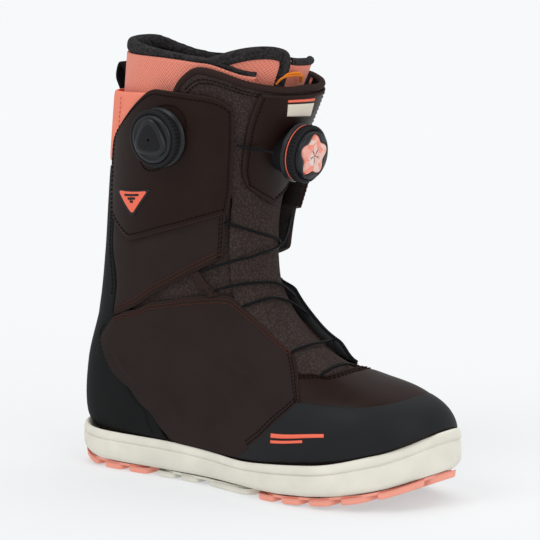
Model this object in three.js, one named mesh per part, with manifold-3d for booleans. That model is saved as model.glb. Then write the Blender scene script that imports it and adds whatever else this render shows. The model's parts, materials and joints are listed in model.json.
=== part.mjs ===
// Snowboard boot for the right foot, standing on its sole.
// Millimetres. +X points from heel to toe, +Y to the inner side of the foot, +Z up.
// The origin lies on the ground under the middle of the sole.

import * as THREE from 'three';
import Module from 'manifold-3d';
import { mergeVertices } from 'three/addons/utils/BufferGeometryUtils.js';

const wasm = await Module();
wasm.setup();

// ---------------------------------------------------------------- sizes

// Overall sizes of the upper.
const BOOT_LENGTH = 288;
const BOOT_WIDTH = 108;
const SHAFT_HEIGHT = 270;

// The sections below are drawn for this last, and stretch with the overall sizes.
const LAST = { length: 288, width: 108, height: 270, base: 10 };

// Walls, measured through the layers of the boot.
const SLEEVE_WALL = 2;
const PANEL_WALL = 2.2;
const FLAP_WALL = 2.4;
const LINER_WALL = 5;
const LINER_TONGUE_WALL = 4;
const BOARD_WALL = 2;
const FACE_WALL = 1.8;
const BADGE_WALL = 1.2;
const FOOTBED_WALL = 3.5;

// Clearances.
const LAYER_GAP = 0.6;
const SLEEVE_GAP = 1.1;
const SEAT_GAP = 0.4;
const SOLE_ROOM = 1.2;

// Heights of the outer face of each layer above the drawn skin of the boot.
const PANEL_OUT = -0.4;
const PANEL_IN = PANEL_OUT - PANEL_WALL;
const SLEEVE_OUT = PANEL_IN - SLEEVE_GAP;
const SLEEVE_IN = SLEEVE_OUT - SLEEVE_WALL;
const FLAP_IN = PANEL_OUT + LAYER_GAP;
const FLAP_OUT = FLAP_IN + FLAP_WALL;
const FACE_OUT = FLAP_IN + FACE_WALL;
const LINER_OUT = SLEEVE_IN - 1;
const LINER_IN = LINER_OUT - LINER_WALL;
const BOARD_OUT = SLEEVE_IN - SLEEVE_GAP - 0.2;
const BOARD_IN = BOARD_OUT - BOARD_WALL;
const BOARD_ROOM = LINER_OUT - BOARD_IN + LAYER_GAP;

// Sole.
const LUG_DEPTH = 6;
const MIDSOLE_EDGE = 4;
const SOLE_HALF_WIDTH = 54;

// Dials.
const KNOB_RADIUS = 18.8;
const KNOB_HEIGHT = 8.4;
const KNOB_WALL = 2.2;
const BASE_RADIUS = 17.4;
const BASE_HEIGHT = 3;
const SPOOL_RADIUS = 11;
const SPOOL_HEIGHT = 3.4;
const AXLE_RADIUS = 2;
const DIAL_GAP = 0.4;

// The dial of the tongue stands on a wedge that turns its face forwards.
const MOUNT_HEIGHT = 9.4;
const MOUNT_LEAN = 17.3;

// Soft trim.
const LACE_RADIUS = 0.9;
const GUIDE_WALL = 1.6;
const GUIDE_STANDOFF = 1.8;
const TRACK_RISE = 7.2;
const LOOP_WIDTH = 15;
const LOOP_THICKNESS = 1.8;
const LOOP_RISE = 17;
const LOOP_OPENING = 9;

// Flex joint of the shaft: side-view edges of the lower boot and of the shaft,
// which meet in a wedge that opens towards the front.
const LOWER_EDGE = [[-170, 111], [-92, 111], [-60, 120], [-37, 126.5], [-16, 130], [-4, 134], [9, 146], [40, 172]];
const SHAFT_EDGE = [[-170, 113.5], [-92, 114.5], [-77, 118], [-47, 135], [-31, 143], [-11, 156], [4, 166], [40, 186]];

// ---------------------------------------------------------------- skin

// Each section is a closed curve between a point on the front line of the boot and a
// point on its back line: [front x, front z, back x, back z, outer half width,
// inner half width, place of the widest point, roundness in front, roundness behind,
// shift towards the inner side].
const SECTIONS = [
  [142, 38, 139, 32, 2, 2, 0.50, 2.0, 2.0, 8],
  [143, 53, 132, 26, 22, 22, 0.60, 2.1, 2.8, 7],
  [133.5, 68, 118, 20, 37, 35, 0.66, 2.2, 3.4, 5],
  [113, 78.5, 95, 14, 47, 42, 0.70, 2.3, 4.0, 2],
  [87, 84.5, 67, 11, 51, 46, 0.72, 2.3, 4.4, 0],
  [59, 91.5, 39, 10, 50, 44, 0.74, 2.2, 4.4, -1],
  [35, 103.5, 8, 10, 46, 41, 0.74, 2.2, 4.4, -1],
  [17, 121, -30, 10, 43, 40, 0.72, 2.2, 4.4, 0],
  [6, 140.5, -74, 10, 42, 41, 0.66, 2.2, 4.2, 0],
  [4, 161, -121, 11, 42, 42, 0.58, 2.2, 3.4, 0],
  [3, 179, -145, 28, 43, 43, 0.50, 2.2, 2.8, 0],
  [5, 196, -147, 65, 45, 44, 0.47, 2.2, 2.4, 0],
  [9, 212, -138, 103, 47, 46, 0.46, 2.2, 2.1, 0],
  [15, 228, -131, 143, 50, 49, 0.46, 2.2, 2.1, 0],
  [22, 243, -127, 183, 52, 51, 0.46, 2.2, 2.1, 0],
  [29, 257, -123, 225, 54, 53, 0.46, 2.2, 2.1, 0],
  [36, 271, -119, 265, 55, 54, 0.46, 2.2, 2.1, 0],
  [43, 285, -115, 305, 56, 55, 0.46, 2.2, 2.1, 0],
];
const TOP = SECTIONS.length - 1;
const RAD = Math.PI / 180;

const stretchX = (x) => x * BOOT_LENGTH / LAST.length;
const stretchY = (y) => y * BOOT_WIDTH / LAST.width;
const stretchZ = (z) => LAST.base + (z - LAST.base) * (SHAFT_HEIGHT - LAST.base) / (LAST.height - LAST.base);

// Smooth value of every column of the section table at station s.
function section(s) {
  const i = Math.min(Math.max(Math.floor(s), 0), TOP - 1);
  const f = s - i;
  const row = (k) => {
    if (k < 0) return SECTIONS[0].map((v, c) => 2 * v - SECTIONS[1][c]);
    if (k > TOP) return SECTIONS[TOP].map((v, c) => 2 * v - SECTIONS[TOP - 1][c]);
    return SECTIONS[k];
  };
  const [a, b, c, d] = [row(i - 1), row(i), row(i + 1), row(i + 2)];
  return b.map((v, n) => 0.5 * (2 * v + (c[n] - a[n]) * f + (2 * a[n] - 5 * v + 4 * c[n] - d[n]) * f * f
    + (3 * v - a[n] - 3 * c[n] + d[n]) * f ** 3));
}

// Point of the skin at station s and angle t in degrees: 0 in front, 90 on the outer
// side of the foot, 180 behind, 270 on the inner side.
function skinPoint(s, t) {
  const [fx, fz, bx, bz, outer, inner, mid, nf, nb, shift] = section(s);
  const c = Math.cos(t * RAD);
  const n = Math.sin(t * RAD);
  const power = 2 / (c >= 0 ? nf : nb);
  const along = c >= 0 ? mid - mid * Math.abs(c) ** power : mid + (1 - mid) * Math.abs(c) ** power;
  const side = Math.abs(n) ** power;
  return new THREE.Vector3(
    stretchX(fx + (bx - fx) * along),
    stretchY(shift + (n >= 0 ? -outer : inner) * side),
    stretchZ(fz + (bz - fz) * along),
  );
}

function skinNormal(s, t) {
  const lo = Math.max(s - 0.02, 0.001);
  const along = skinPoint(s + 0.02, t).sub(skinPoint(lo, t));
  const around = skinPoint(s, t + 1).sub(skinPoint(s, t - 1));
  return along.cross(around).normalize();
}

// Point at height h above the skin.
const skin = (s, t, h = 0) => skinPoint(s, t).addScaledVector(skinNormal(s, t), h);

// Height of a side-view line [[x, z], ...] of the drawn last at x, in the stretched boot.
function lineHeight(line, x) {
  const drawn = x * LAST.length / BOOT_LENGTH;
  let i = 0;
  while (i < line.length - 2 && line[i + 1][0] < drawn) i += 1;
  const [a, b] = [line[i], line[i + 1]];
  const f = Math.min(Math.max((drawn - a[0]) / (b[0] - a[0]), 0), 1);
  return stretchZ(a[1] + (b[1] - a[1]) * f);
}

// Station where the skin at angle t crosses a side-view line.
function stationOn(line, t, lift = 0) {
  let lo = 4;
  let hi = TOP;
  for (let i = 0; i < 30; i += 1) {
    const mid = (lo + hi) / 2;
    const p = skinPoint(mid, t);
    if (p.z < lineHeight(line, p.x) + lift) lo = mid;
    else hi = mid;
  }
  return (lo + hi) / 2;
}

// ---------------------------------------------------------------- sole lines

// Plan outline of the sole as [x, y], and side-view lines of its rim and its underside.
const SOLE_OUTLINE = [
  [-145, 0], [-141, 21], [-127.5, 36], [-100, 40], [-60, 39], [-20, 38], [20, 41], [50, 47], [80, 52], [105, 50],
  [125, 43], [140, 29], [147, 8], [140, -9], [125, -31], [105, -46], [80, -55], [50, -56], [20, -51], [-20, -43],
  [-60, -41], [-100, -41], [-128.5, -37.5], [-142, -22],
];
const RIM = [[-146, 31], [-120, 27], [-50, 26.5], [15, 23], [88, 30.5], [129, 42], [147, 55]];
const UNDERSIDE = [[-146, 17], [-124, LUG_DEPTH], [45, LUG_DEPTH], [86, LUG_DEPTH + 2.5], [110, LUG_DEPTH + 6.5], [130, LUG_DEPTH + 12], [147, 28]];

// Height of a side-view line of the sole, with its corners rounded by averaging.
const CORNER_REACH = 10;
function soleHeight(line, x) {
  const straight = (at) => {
    let i = 0;
    while (i < line.length - 2 && stretchX(line[i + 1][0]) < at) i += 1;
    const [[x0, z0], [x1, z1]] = [line[i], line[i + 1]];
    const f = (at - stretchX(x0)) / (stretchX(x1) - stretchX(x0));
    return z0 + (z1 - z0) * Math.min(Math.max(f, 0), 1);
  };
  let sum = 0;
  for (const step of [-1, -0.5, 0, 0.5, 1]) sum += straight(x + step * CORNER_REACH);
  return sum / 5;
}

// Angle where the skin at station s goes into the rim of the sole, on the outer side.
function rimAngle(s, lift) {
  let lo = 0;
  let hi = 180;
  for (let i = 0; i < 26; i += 1) {
    const mid = (lo + hi) / 2;
    const p = skin(s, mid, PANEL_OUT);
    if (p.z > soleHeight(RIM, p.x) + lift) lo = mid;
    else hi = mid;
  }
  return lo;
}

// ---------------------------------------------------------------- solids

const meshes = [];

function addMesh(name, geometry, look, place) {
  const mesh = new THREE.Mesh(geometry, look);
  mesh.name = name;
  if (place) {
    mesh.position.copy(place.position);
    mesh.quaternion.copy(place.quaternion);
  }
  meshes.push(mesh);
  return mesh;
}

// Geometry from points and triangles, turned so that its faces point outwards.
function solidGeometry(points, faces) {
  let volume = 0;
  for (const [a, b, c] of faces) volume += points[a].dot(points[b].clone().cross(points[c]));
  const geometry = new THREE.BufferGeometry();
  geometry.setAttribute('position', new THREE.Float32BufferAttribute(points.flatMap((p) => [p.x, p.y, p.z]), 3));
  geometry.setIndex(faces.flatMap(([a, b, c]) => (volume > 0 ? [a, b, c] : [a, c, b])));
  return geometry;
}

// Grid of quads between two faces that share their edge: a sheet with a wall.
function sheetSolid(nu, nv, outerPoint, innerPoint) {
  const points = [];
  const faces = [];
  const at = (side, i, j) => side * (nu + 1) * (nv + 1) + i * (nv + 1) + j;
  for (const point of [outerPoint, innerPoint]) {
    for (let i = 0; i <= nu; i += 1) for (let j = 0; j <= nv; j += 1) points.push(point(i / nu, j / nv));
  }
  const quad = (a, b, c, d) => faces.push([a, b, c], [a, c, d]);
  for (let i = 0; i < nu; i += 1) {
    for (let j = 0; j < nv; j += 1) {
      quad(at(0, i, j), at(0, i + 1, j), at(0, i + 1, j + 1), at(0, i, j + 1));
      quad(at(1, i, j + 1), at(1, i + 1, j + 1), at(1, i + 1, j), at(1, i, j));
    }
    quad(at(0, i + 1, 0), at(0, i, 0), at(1, i, 0), at(1, i + 1, 0));
    quad(at(0, i, nv), at(0, i + 1, nv), at(1, i + 1, nv), at(1, i, nv));
  }
  for (let j = 0; j < nv; j += 1) {
    quad(at(0, 0, j), at(0, 0, j + 1), at(1, 0, j + 1), at(1, 0, j));
    quad(at(0, nu, j + 1), at(0, nu, j), at(1, nu, j), at(1, nu, j + 1));
  }
  return solidGeometry(points, faces);
}

// Smooth curve through [station, angle] points.
function through(points) {
  const curve = new THREE.SplineCurve(points.map(([s, t]) => new THREE.Vector2(s * 12, t)));
  return (u) => {
    const p = curve.getPointAt(Math.min(Math.max(u, 0), 1));
    return [p.x / 12, p.y];
  };
}

const mirrored = (curve) => (u) => {
  const [s, t] = curve(u);
  return [s, 360 - t];
};

// The same edge across the front of the foot.
const opposite = (curve) => (u) => {
  const [s, t] = curve(u);
  return [s, -t];
};

// The same edge on the outer side, over the front and down the inner side.
const acrossFront = (half) => (u) => {
  const [s, t] = half(u < 0.5 ? u * 2 : 2 - u * 2);
  return u < 0.5 ? [s, t] : [s, -t];
};

const acrossBack = (half) => (u) => {
  const [s, t] = half(u < 0.5 ? u * 2 : 2 - u * 2);
  return u < 0.5 ? [s, t] : [s, 360 - t];
};

// Place on the skin inside four edges, each a curve of [station, angle].
function patch({ top, bottom, left, right }) {
  const mix = (a, b, f) => [a[0] + (b[0] - a[0]) * f, a[1] + (b[1] - a[1]) * f];
  const l = left ?? ((v) => mix(top(0), bottom(0), v));
  const r = right ?? ((v) => mix(top(1), bottom(1), v));
  return (u, v) => {
    const across = mix(top(u), bottom(u), v);
    const down = mix(l(v), r(v), u);
    const corners = mix(mix(top(0), top(1), u), mix(bottom(0), bottom(1), u), v);
    return [across[0] + down[0] - corners[0], across[1] + down[1] - corners[1]];
  };
}

// A panel that lies on the skin inside four edges. Heights may be functions of (u, v).
function panelGeometry(edges, outer, inner, nu, nv) {
  const where = patch(edges);
  const height = (h, u, v) => (typeof h === 'function' ? h(u, v) : h);
  const face = (h) => (u, v) => {
    const [s, t] = where(u, v);
    return skin(s, t, height(h, u, v));
  };
  return sheetSolid(nu, nv, face(outer), face(inner));
}

function addPanel(name, look, edges, outer, inner, nu, nv) {
  return addMesh(name, panelGeometry(edges, outer, inner, nu, nv), look);
}

// The outer and inner side of the foot get the same panel, mirrored. lift(s, t) raises the
// inner one off the skin.
function addPanelPair(name, look, edges, outer, inner, nu, nv, lift = () => 0) {
  addPanel(`${name}_outer`, look, edges, outer, inner, nu, nv);
  const other = Object.fromEntries(Object.entries(edges).map(([key, curve]) => [key, mirrored(curve)]));
  const where = patch(other);
  const lifted = (h) => (u, v) => h + lift(...where(u, v));
  addPanel(`${name}_inner`, look, other, lifted(outer), lifted(inner), nu, nv);
}

// Sock-shaped solid: an outer and an inner tube, each closed at its toe end and joined
// around the mouth. stations gives both toe ends, mouth(t) the station of the mouth.
// Socks that lie inside each other share the stations and angles of their facets.
const COLUMNS = 24;
const FOOT_STATIONS = [0, 0.5, 1, 2, 3, 4, 5, 6, 7];
const ANKLE_ROWS = 7;
function sockGeometry({ stations, mouth, outer, inner }) {
  const points = [];
  const faces = [];
  const columns = COLUMNS;
  const foot = FOOT_STATIONS.length - 1;
  const rows = foot + ANKLE_ROWS;
  const stationOf = (side, i, t) => (i <= foot ? Math.max(FOOT_STATIONS[i], stations[side] + i * 1e-3)
    : FOOT_STATIONS[foot] + (mouth(t) - FOOT_STATIONS[foot]) * (i - foot) / ANKLE_ROWS);
  const ring = (side, i, j) => side * ((rows + 1) * columns + 1) + i * columns + (j % columns);
  [outer, inner].forEach((height, side) => {
    for (let i = 0; i <= rows; i += 1) {
      for (let j = 0; j < columns; j += 1) {
        const t = j * 360 / columns;
        const s = stationOf(side, i, t);
        points.push(skin(s, t, height(s, t)));
      }
    }
    const cap = new THREE.Vector3();
    for (let j = 0; j < columns; j += 1) cap.add(points[ring(side, 0, j)]);
    points.push(cap.divideScalar(columns));
  });
  const quad = (a, b, c, d) => faces.push([a, b, c], [a, c, d]);
  for (let j = 0; j < columns; j += 1) {
    for (let i = 0; i < rows; i += 1) {
      quad(ring(0, i, j), ring(0, i + 1, j), ring(0, i + 1, j + 1), ring(0, i, j + 1));
      quad(ring(1, i, j + 1), ring(1, i + 1, j + 1), ring(1, i + 1, j), ring(1, i, j));
    }
    faces.push([ring(0, 0, j), ring(0, 0, j + 1), (rows + 1) * columns]);
    faces.push([ring(1, 0, j + 1), ring(1, 0, j), 2 * (rows + 1) * columns + 1]);
    quad(ring(0, rows, j), ring(1, rows, j), ring(1, rows, j + 1), ring(0, rows, j + 1));
  }
  return solidGeometry(points, faces);
}

const smooth = (x, lo, hi) => THREE.MathUtils.smoothstep(x, lo, hi);

// The sleeve comes out to the skin at the tip of the toe, where its sections are small.
const sleeveOut = (s) => SLEEVE_OUT * smooth(s, 0, 0.9);

// ---------------------------------------------------------------- looks

const look = (color, roughness = 0.8, metalness = 0) => new THREE.MeshStandardMaterial({ color, roughness, metalness });
const LOOKS = {
  satin: look(0x2e1d1a, 0.5),
  matte: look(0x352d2b, 0.8),
  mesh: look(0x3a312f, 0.95),
  black: look(0x121315, 0.75),
  rubber: look(0x17181b, 0.6),
  coral: look(0xf07a66, 0.7),
  cream: look(0xe4e1d4, 0.65),
  plastic: look(0x101114, 0.35),
  fleece: look(0x141414, 1),
  board: look(0x55504a, 0.9),
  foam: look(0x9a9a96, 0.9),
  lace: look(0x0c0c0c, 0.5),
  clear: look(0xb9b2ad, 0.2),
};

// ---------------------------------------------------------------- sole

const manifoldOf = (geometry) => {
  const bare = geometry.clone();
  for (const key of Object.keys(bare.attributes)) if (key !== 'position') bare.deleteAttribute(key);
  const merged = mergeVertices(bare, 1e-4);
  return new wasm.Manifold(new wasm.Mesh({
    numProp: 3,
    vertProperties: new Float32Array(merged.attributes.position.array),
    triVerts: new Uint32Array(merged.index.array),
  }));
};

const geometryOf = (solid) => {
  const { vertProperties, triVerts } = solid.getMesh();
  const geometry = new THREE.BufferGeometry();
  geometry.setAttribute('position', new THREE.BufferAttribute(vertProperties, 3));
  geometry.setIndex(new THREE.BufferAttribute(triVerts, 1));
  return geometry;
};

const solePlan = new THREE.CatmullRomCurve3(
  SOLE_OUTLINE.map(([x, y]) => new THREE.Vector3(stretchX(x), stretchY(y) * SOLE_HALF_WIDTH / 54, 0)), true);

// Stack of rings around the sole outline, each [inset, height above a line at x].
function soleSolid(rings, columns) {
  const plan = solePlan.getSpacedPoints(columns).slice(0, columns);
  const points = [];
  const faces = [];
  const middle = new THREE.Vector3(0, 0, 0);
  rings.forEach(([inset, line, lift]) => {
    for (const p of plan) {
      const x = p.x * (1 - 2 * inset / BOOT_LENGTH);
      points.push(new THREE.Vector3(x, p.y * (1 - inset / SOLE_HALF_WIDTH), soleHeight(line, x) + lift));
    }
  });
  for (let i = 0; i < rings.length - 1; i += 1) {
    for (let j = 0; j < columns; j += 1) {
      const [a, b] = [i * columns + j, i * columns + (j + 1) % columns];
      faces.push([a, b, b + columns], [a, b + columns, a + columns]);
    }
  }
  // Each end is closed by strips between mirrored points of the ring.
  const strip = (base, flip) => {
    let lo = 0;
    let hi = columns - 1;
    while (hi - lo > 1) {
      const tri = (a, b, c) => faces.push(flip ? [base + c, base + b, base + a] : [base + a, base + b, base + c]);
      tri(lo, hi, lo + 1);
      lo += 1;
      if (hi - lo > 1) {
        tri(lo, hi, hi - 1);
        hi -= 1;
      }
    }
  };
  strip(0, false);
  strip((rings.length - 1) * columns, true);
  return solidGeometry(points, faces);
}

const HELD_STATIONS = 12;

// The closed outside of the sleeve with some room around it, which the midsole holds.
function lastSolid(room) {
  const rows = 24;
  const columns = 32;
  const points = [];
  const faces = [];
  for (let i = 0; i <= rows; i += 1) {
    for (let j = 0; j < columns; j += 1) {
      const s = HELD_STATIONS * i / rows;
      points.push(skin(s, j * 360 / columns, sleeveOut(s) + room));
    }
  }
  const ends = [0, rows].map((i) => {
    const end = new THREE.Vector3();
    for (let j = 0; j < columns; j += 1) end.add(points[i * columns + j]);
    return points.push(end.divideScalar(columns)) - 1;
  });
  for (let j = 0; j < columns; j += 1) {
    const k = (j + 1) % columns;
    for (let i = 0; i < rows; i += 1) {
      const [a, b] = [i * columns + j, i * columns + k];
      faces.push([a, a + columns, b + columns], [a, b + columns, b]);
    }
    faces.push([j, k, ends[0]], [rows * columns + k, rows * columns + j, ends[1]]);
  }
  return solidGeometry(points, faces);
}

function addSole() {
  const body = manifoldOf(soleSolid([
    [MIDSOLE_EDGE, UNDERSIDE, 0], [0, UNDERSIDE, MIDSOLE_EDGE], [0.6, RIM, -2], [2.2, RIM, 0],
  ], 44));
  const room = manifoldOf(lastSolid(SOLE_ROOM));
  addMesh('midsole', geometryOf(body.subtract(room)), LOOKS.cream);
}

// Tread blocks: [first x, last x] along the sole, two across or one over the full width.
const HEEL_LUGS = [[-138, -119], [-114, -97], [-92, -74]];
const ARCH_LUGS = [[-66, -50], [-45, -29], [-24, 24]];
const TOE_LUGS = [[30, 46], [51, 68], [73, 90], [95, 111], [116, 134]];
const LUG_INSET = 3;
const LUG_SPLIT = 4;
const POD_WALL = 2;

const outlinePoints = solePlan.getSpacedPoints(400);
function halfWidth(x, side) {
  let best = 0;
  for (const p of outlinePoints) {
    if (Math.sign(p.y) === side && Math.abs(p.x - x) < 2) best = Math.max(best, Math.abs(p.y));
  }
  return best - LUG_INSET;
}

// Slab under the midsole between two places along it and two depths below it.
function treadSlab(x0, x1, side, from, to, steps) {
  const place = (u, v, depth) => {
    const x = stretchX(x0 + (x1 - x0) * u);
    const [lo, hi] = side === 0 ? [-halfWidth(x, -1), halfWidth(x, 1)]
      : [side * LUG_SPLIT, side * halfWidth(x, side)];
    return new THREE.Vector3(x, lo + (hi - lo) * v, soleHeight(UNDERSIDE, x) - depth);
  };
  return manifoldOf(sheetSolid(steps, 1, (u, v) => place(u, v, from), (u, v) => place(u, v, to)));
}

// Rubber pod: a thin plate with its tread blocks.
function addPod(name, look, blocks, across) {
  let pod = treadSlab(blocks[0][0], blocks[blocks.length - 1][1], 0, SEAT_GAP, SEAT_GAP + POD_WALL, 8);
  for (const [x0, x1] of blocks) {
    const sides = across(x0) ? [0] : [-1, 1];
    for (const side of sides) pod = pod.add(treadSlab(x0, x1, side, SEAT_GAP + POD_WALL / 2, LUG_DEPTH, 3));
  }
  addMesh(name, geometryOf(pod), look);
}

function addTread() {
  addPod('heel_tread', LOOKS.coral, HEEL_LUGS, () => false);
  addPod('arch_tread', LOOKS.cream, ARCH_LUGS, (x) => x === ARCH_LUGS[2][0]);
  addPod('toe_tread', LOOKS.coral, TOE_LUGS, () => false);
}

// ---------------------------------------------------------------- lower boot

const lowerMouth = (t) => stationOn(LOWER_EDGE, t);
const shaftMouth = (t) => stationOn(SHAFT_EDGE, t);

// The liner and the footbed keep room under them for the lasting board.
const overBoard = (s, t) => -BOARD_ROOM * (1 - smooth(Math.abs(t - 180), 30, 44)) * (1 - smooth(s, 9.1, 9.9));

function addLowerBoot() {
  addMesh('lower_sleeve', sockGeometry({
    stations: [0, 1],
    mouth: lowerMouth,
    outer: sleeveOut,
    inner: () => SLEEVE_IN,
  }), LOOKS.mesh);

  const bottomEdge = (from, t) => through([[from, t], [8.6, t]]);
  addPanel('lasting_board', LOOKS.board, { top: bottomEdge(2, 157), bottom: bottomEdge(2, 203) },
    BOARD_OUT, BOARD_IN, 12, 4);

  addMesh('liner_foot', sockGeometry({
    stations: [1, 2],
    mouth: lowerMouth,
    outer: (s, t) => LINER_OUT + overBoard(s, t),
    inner: (s, t) => LINER_IN + overBoard(s, t),
  }), LOOKS.fleece);

  const footbedOut = LINER_IN - BOARD_ROOM - SLEEVE_GAP;
  addPanel('footbed', LOOKS.foam, { top: bottomEdge(3, 157), bottom: bottomEdge(3, 203) },
    footbedOut, footbedOut - FOOTBED_WALL, 12, 4);
}

// Edges shared by the panels of the lower boot, on the outer side.
const RIM_LIFT = 0.8;
const onRim = (from, to) => {
  const stops = Array.from({ length: 15 }, (_, i) => to + (from - to) * (1 - i / 14) ** 2);
  return through(stops.map((s) => [s, rimAngle(s, RIM_LIFT)]));
};

// Place at station s and angle t, or just above the rim where the rim comes first.
const aboveRim = (s, t) => [s, Math.min(t, rimAngle(s, RIM_LIFT))];

// Stations where the rim crosses the middle of the toe and of the heel.
function rimStation(t, lo, hi) {
  for (let i = 0; i < 26; i += 1) {
    const mid = (lo + hi) / 2;
    const p = skin(mid, t, PANEL_OUT);
    if (p.z > soleHeight(RIM, p.x) + RIM_LIFT) hi = mid;
    else lo = mid;
  }
  return hi;
}
const TOE_STATION = rimStation(0, 0.6, 3);
const HEEL_STATION = rimStation(180, 9, 11);
const EYESTAY = [[8.1, 37.5], [6.8, 31], [5.97, 30], [5.4, 30]];

function addLowerPanels() {
  addPanelPair('quarter', LOOKS.matte, {
    top: through([[10.95, 108], [10.35, 85], [9.6, 66], [8.7, 48], [8.4, 41.5], ...EYESTAY]),
    right: through([[5.4, 30], [5.05, 42], [4.75, 53.5], [4.75, 62]]),
    bottom: through([aboveRim(7.6, 180), aboveRim(6.8, 100), aboveRim(6.0, 91), [5.2, 78], [4.75, 62]]),
    left: through([[10.95, 108], [10.8, 117], [10.3, 113], [9.7, 101], [8.7, 94], [8.1, 95.5], aboveRim(7.6, 180)]),
  }, PANEL_OUT, PANEL_IN, 14, 8);

  addPanel('vamp', LOOKS.satin, {
    top: acrossFront(through([[4.95, 38], [4.6, 30], [4.37, 19], [4.25, 9], [4.2, 0]])),
    bottom: acrossFront(through([[4.45, 56], [4.1, 51], [3.35, 41.5], [2.85, 27], [2.65, 0]])),
  }, PANEL_OUT, PANEL_IN, 16, 6);

  addPanel('toe_cap', LOOKS.rubber, {
    top: acrossFront(through([[5.95, 98], [5.1, 82], [4.55, 64], [4.2, 55], [3.3, 44.5], [2.75, 28], [2.5, 0]])),
    bottom: acrossFront(onRim(6.3, TOE_STATION)),
  }, PANEL_OUT, PANEL_IN, 28, 5);

  const counterTop = (u) => {
    const t = 109.5 + (180 - 109.5) * u;
    return [stationOn(LOWER_EDGE, t), t];
  };
  const counterSide = through([[10.95, 110.2], [10.8, 119.5], [10.3, 115.5], [9.7, 103.5], [8.7, 96.5], [8.2, 98],
    aboveRim(7.8, 180)]);
  addPanel('heel_counter', LOOKS.black, {
    top: acrossBack(counterTop),
    bottom: acrossBack(onRim(7.8, HEEL_STATION)),
    left: counterSide,
    right: mirrored(counterSide),
  }, PANEL_OUT, PANEL_IN, 20, 8);

  const tongueSide = through([[8.35, 36], [6.8, 29], [5.97, 28], [5.1, 28]]);
  addPanel('tongue_foot', LOOKS.mesh, {
    top: tongueSide,
    bottom: opposite(tongueSide),
  }, PANEL_OUT - 0.4, PANEL_IN, 8, 8);
}

// ---------------------------------------------------------------- shaft

// Sheet around the back of the boot from angle t0 to angle t1, between two edges.
function wrap(t0, t1, low, high) {
  const at = (u) => t0 + (t1 - t0) * u;
  return { bottom: (u) => [low(at(u)), at(u)], top: (u) => [high(at(u)), at(u)] };
}

const SLEEVE_FRONT = 44;
const LINER_FRONT = 42;
const SHAFT_TOP = 15.95;

// The fleece collar of the liner is tallest behind, dips at its front edges and is lower on
// the inner side.
const collarEdge = (t) => 16.9 - 0.4 * smooth(Math.cos(t * RAD), 0.2, 0.8) - 0.28 * smooth(t, 190, 240);
const collarFoot = (t) => collarEdge(t) - 0.14 - 0.1 * smooth(-Math.cos(t * RAD), 0, 0.9);
const COLLAR_SEAM = 0.03;

// The front edges of the shaft stand off the tongue on the inner side.
const STAND_OFF = 12;
const standOff = (s, t) =>
  STAND_OFF * smooth(t, 290, 318) * smooth(s, 8.5, 9.9) * (1 - smooth(s, 12.4, 14.2));

function addShaft() {
  addPanel('shaft_sleeve', LOOKS.mesh, wrap(SLEEVE_FRONT, 360 - SLEEVE_FRONT, shaftMouth, () => SHAFT_TOP),
    SLEEVE_OUT, SLEEVE_IN, 20, 5);

  addPanel('liner_shaft', LOOKS.coral, wrap(LINER_FRONT, 360 - LINER_FRONT, shaftMouth,
    (t) => collarFoot(t) - COLLAR_SEAM), LINER_OUT, LINER_IN, 20, 6);

  addPanel('liner_collar', LOOKS.fleece, wrap(LINER_FRONT, 360 - LINER_FRONT, collarFoot, collarEdge),
    LINER_OUT, LINER_IN, 20, 2);

  // The tongue of the liner lies inside the front edges of the liner, which overlap it.
  const tongueRoot = (t) => [stationOn(SHAFT_EDGE, t, 5), t];
  addPanel('liner_tongue', LOOKS.coral, {
    top: through([[16.9, 62], [17.1, 36], [17.0, 22], [16.8, 5], [16.75, -15], [16.8, -38]]),
    bottom: (u) => tongueRoot(36 - 72 * u),
    left: through([[16.9, 62], [15.5, 52], [13.5, 42], tongueRoot(36)]),
    right: through([[16.8, -38], [15.5, -38], [13.5, -37], tongueRoot(-36)]),
  }, LINER_IN - LAYER_GAP - 0.2, LINER_IN - LAYER_GAP - 0.2 - LINER_TONGUE_WALL, 12, 8);

  addPanelPair('shaft_panel', LOOKS.matte, {
    top: through([[13.7, 126.5], [13.0, 112], [12.85, 106], [12.6, 96], [12.25, 79], [11.85, 58], [11.5, 43]]),
    bottom: through([[11.2, 108], [10.82, 97], [10.47, 75.5], [10.0, 61.5], [9.87, 52.5], [9.75, 42.5]]),
    left: through([[13.7, 126.5], [12.9, 124.5], [11.9, 114], [11.2, 108]]),
    right: through([[11.5, 43], [10.9, 41], [10.3, 40.5], [9.75, 42.5]]),
  }, PANEL_OUT, PANEL_IN, 14, 7, standOff);

  const staySide = through([[14.6, 128.5], [13.7, 128.5], [12.9, 126.5], [11.9, 116], [shaftMouth(110.5), 110.5]]);
  addPanel('backstay', LOOKS.black, {
    top: acrossBack(through([[14.6, 128.5], [14.6, 180]])),
    bottom: acrossBack(through([[shaftMouth(110.5), 110.5], [shaftMouth(140), 140], [shaftMouth(180), 180]])),
    left: staySide,
    right: mirrored(staySide),
  }, PANEL_OUT, PANEL_IN, 14, 7);

  addPanel('rear_collar', LOOKS.coral, {
    top: acrossBack(through([[15.95, 104], [15.95, 180]])),
    bottom: acrossBack(through([[15.3, 112], [14.85, 125], [14.7, 140], [14.68, 180]])),
  }, PANEL_OUT, PANEL_IN, 20, 3);
}

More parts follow.
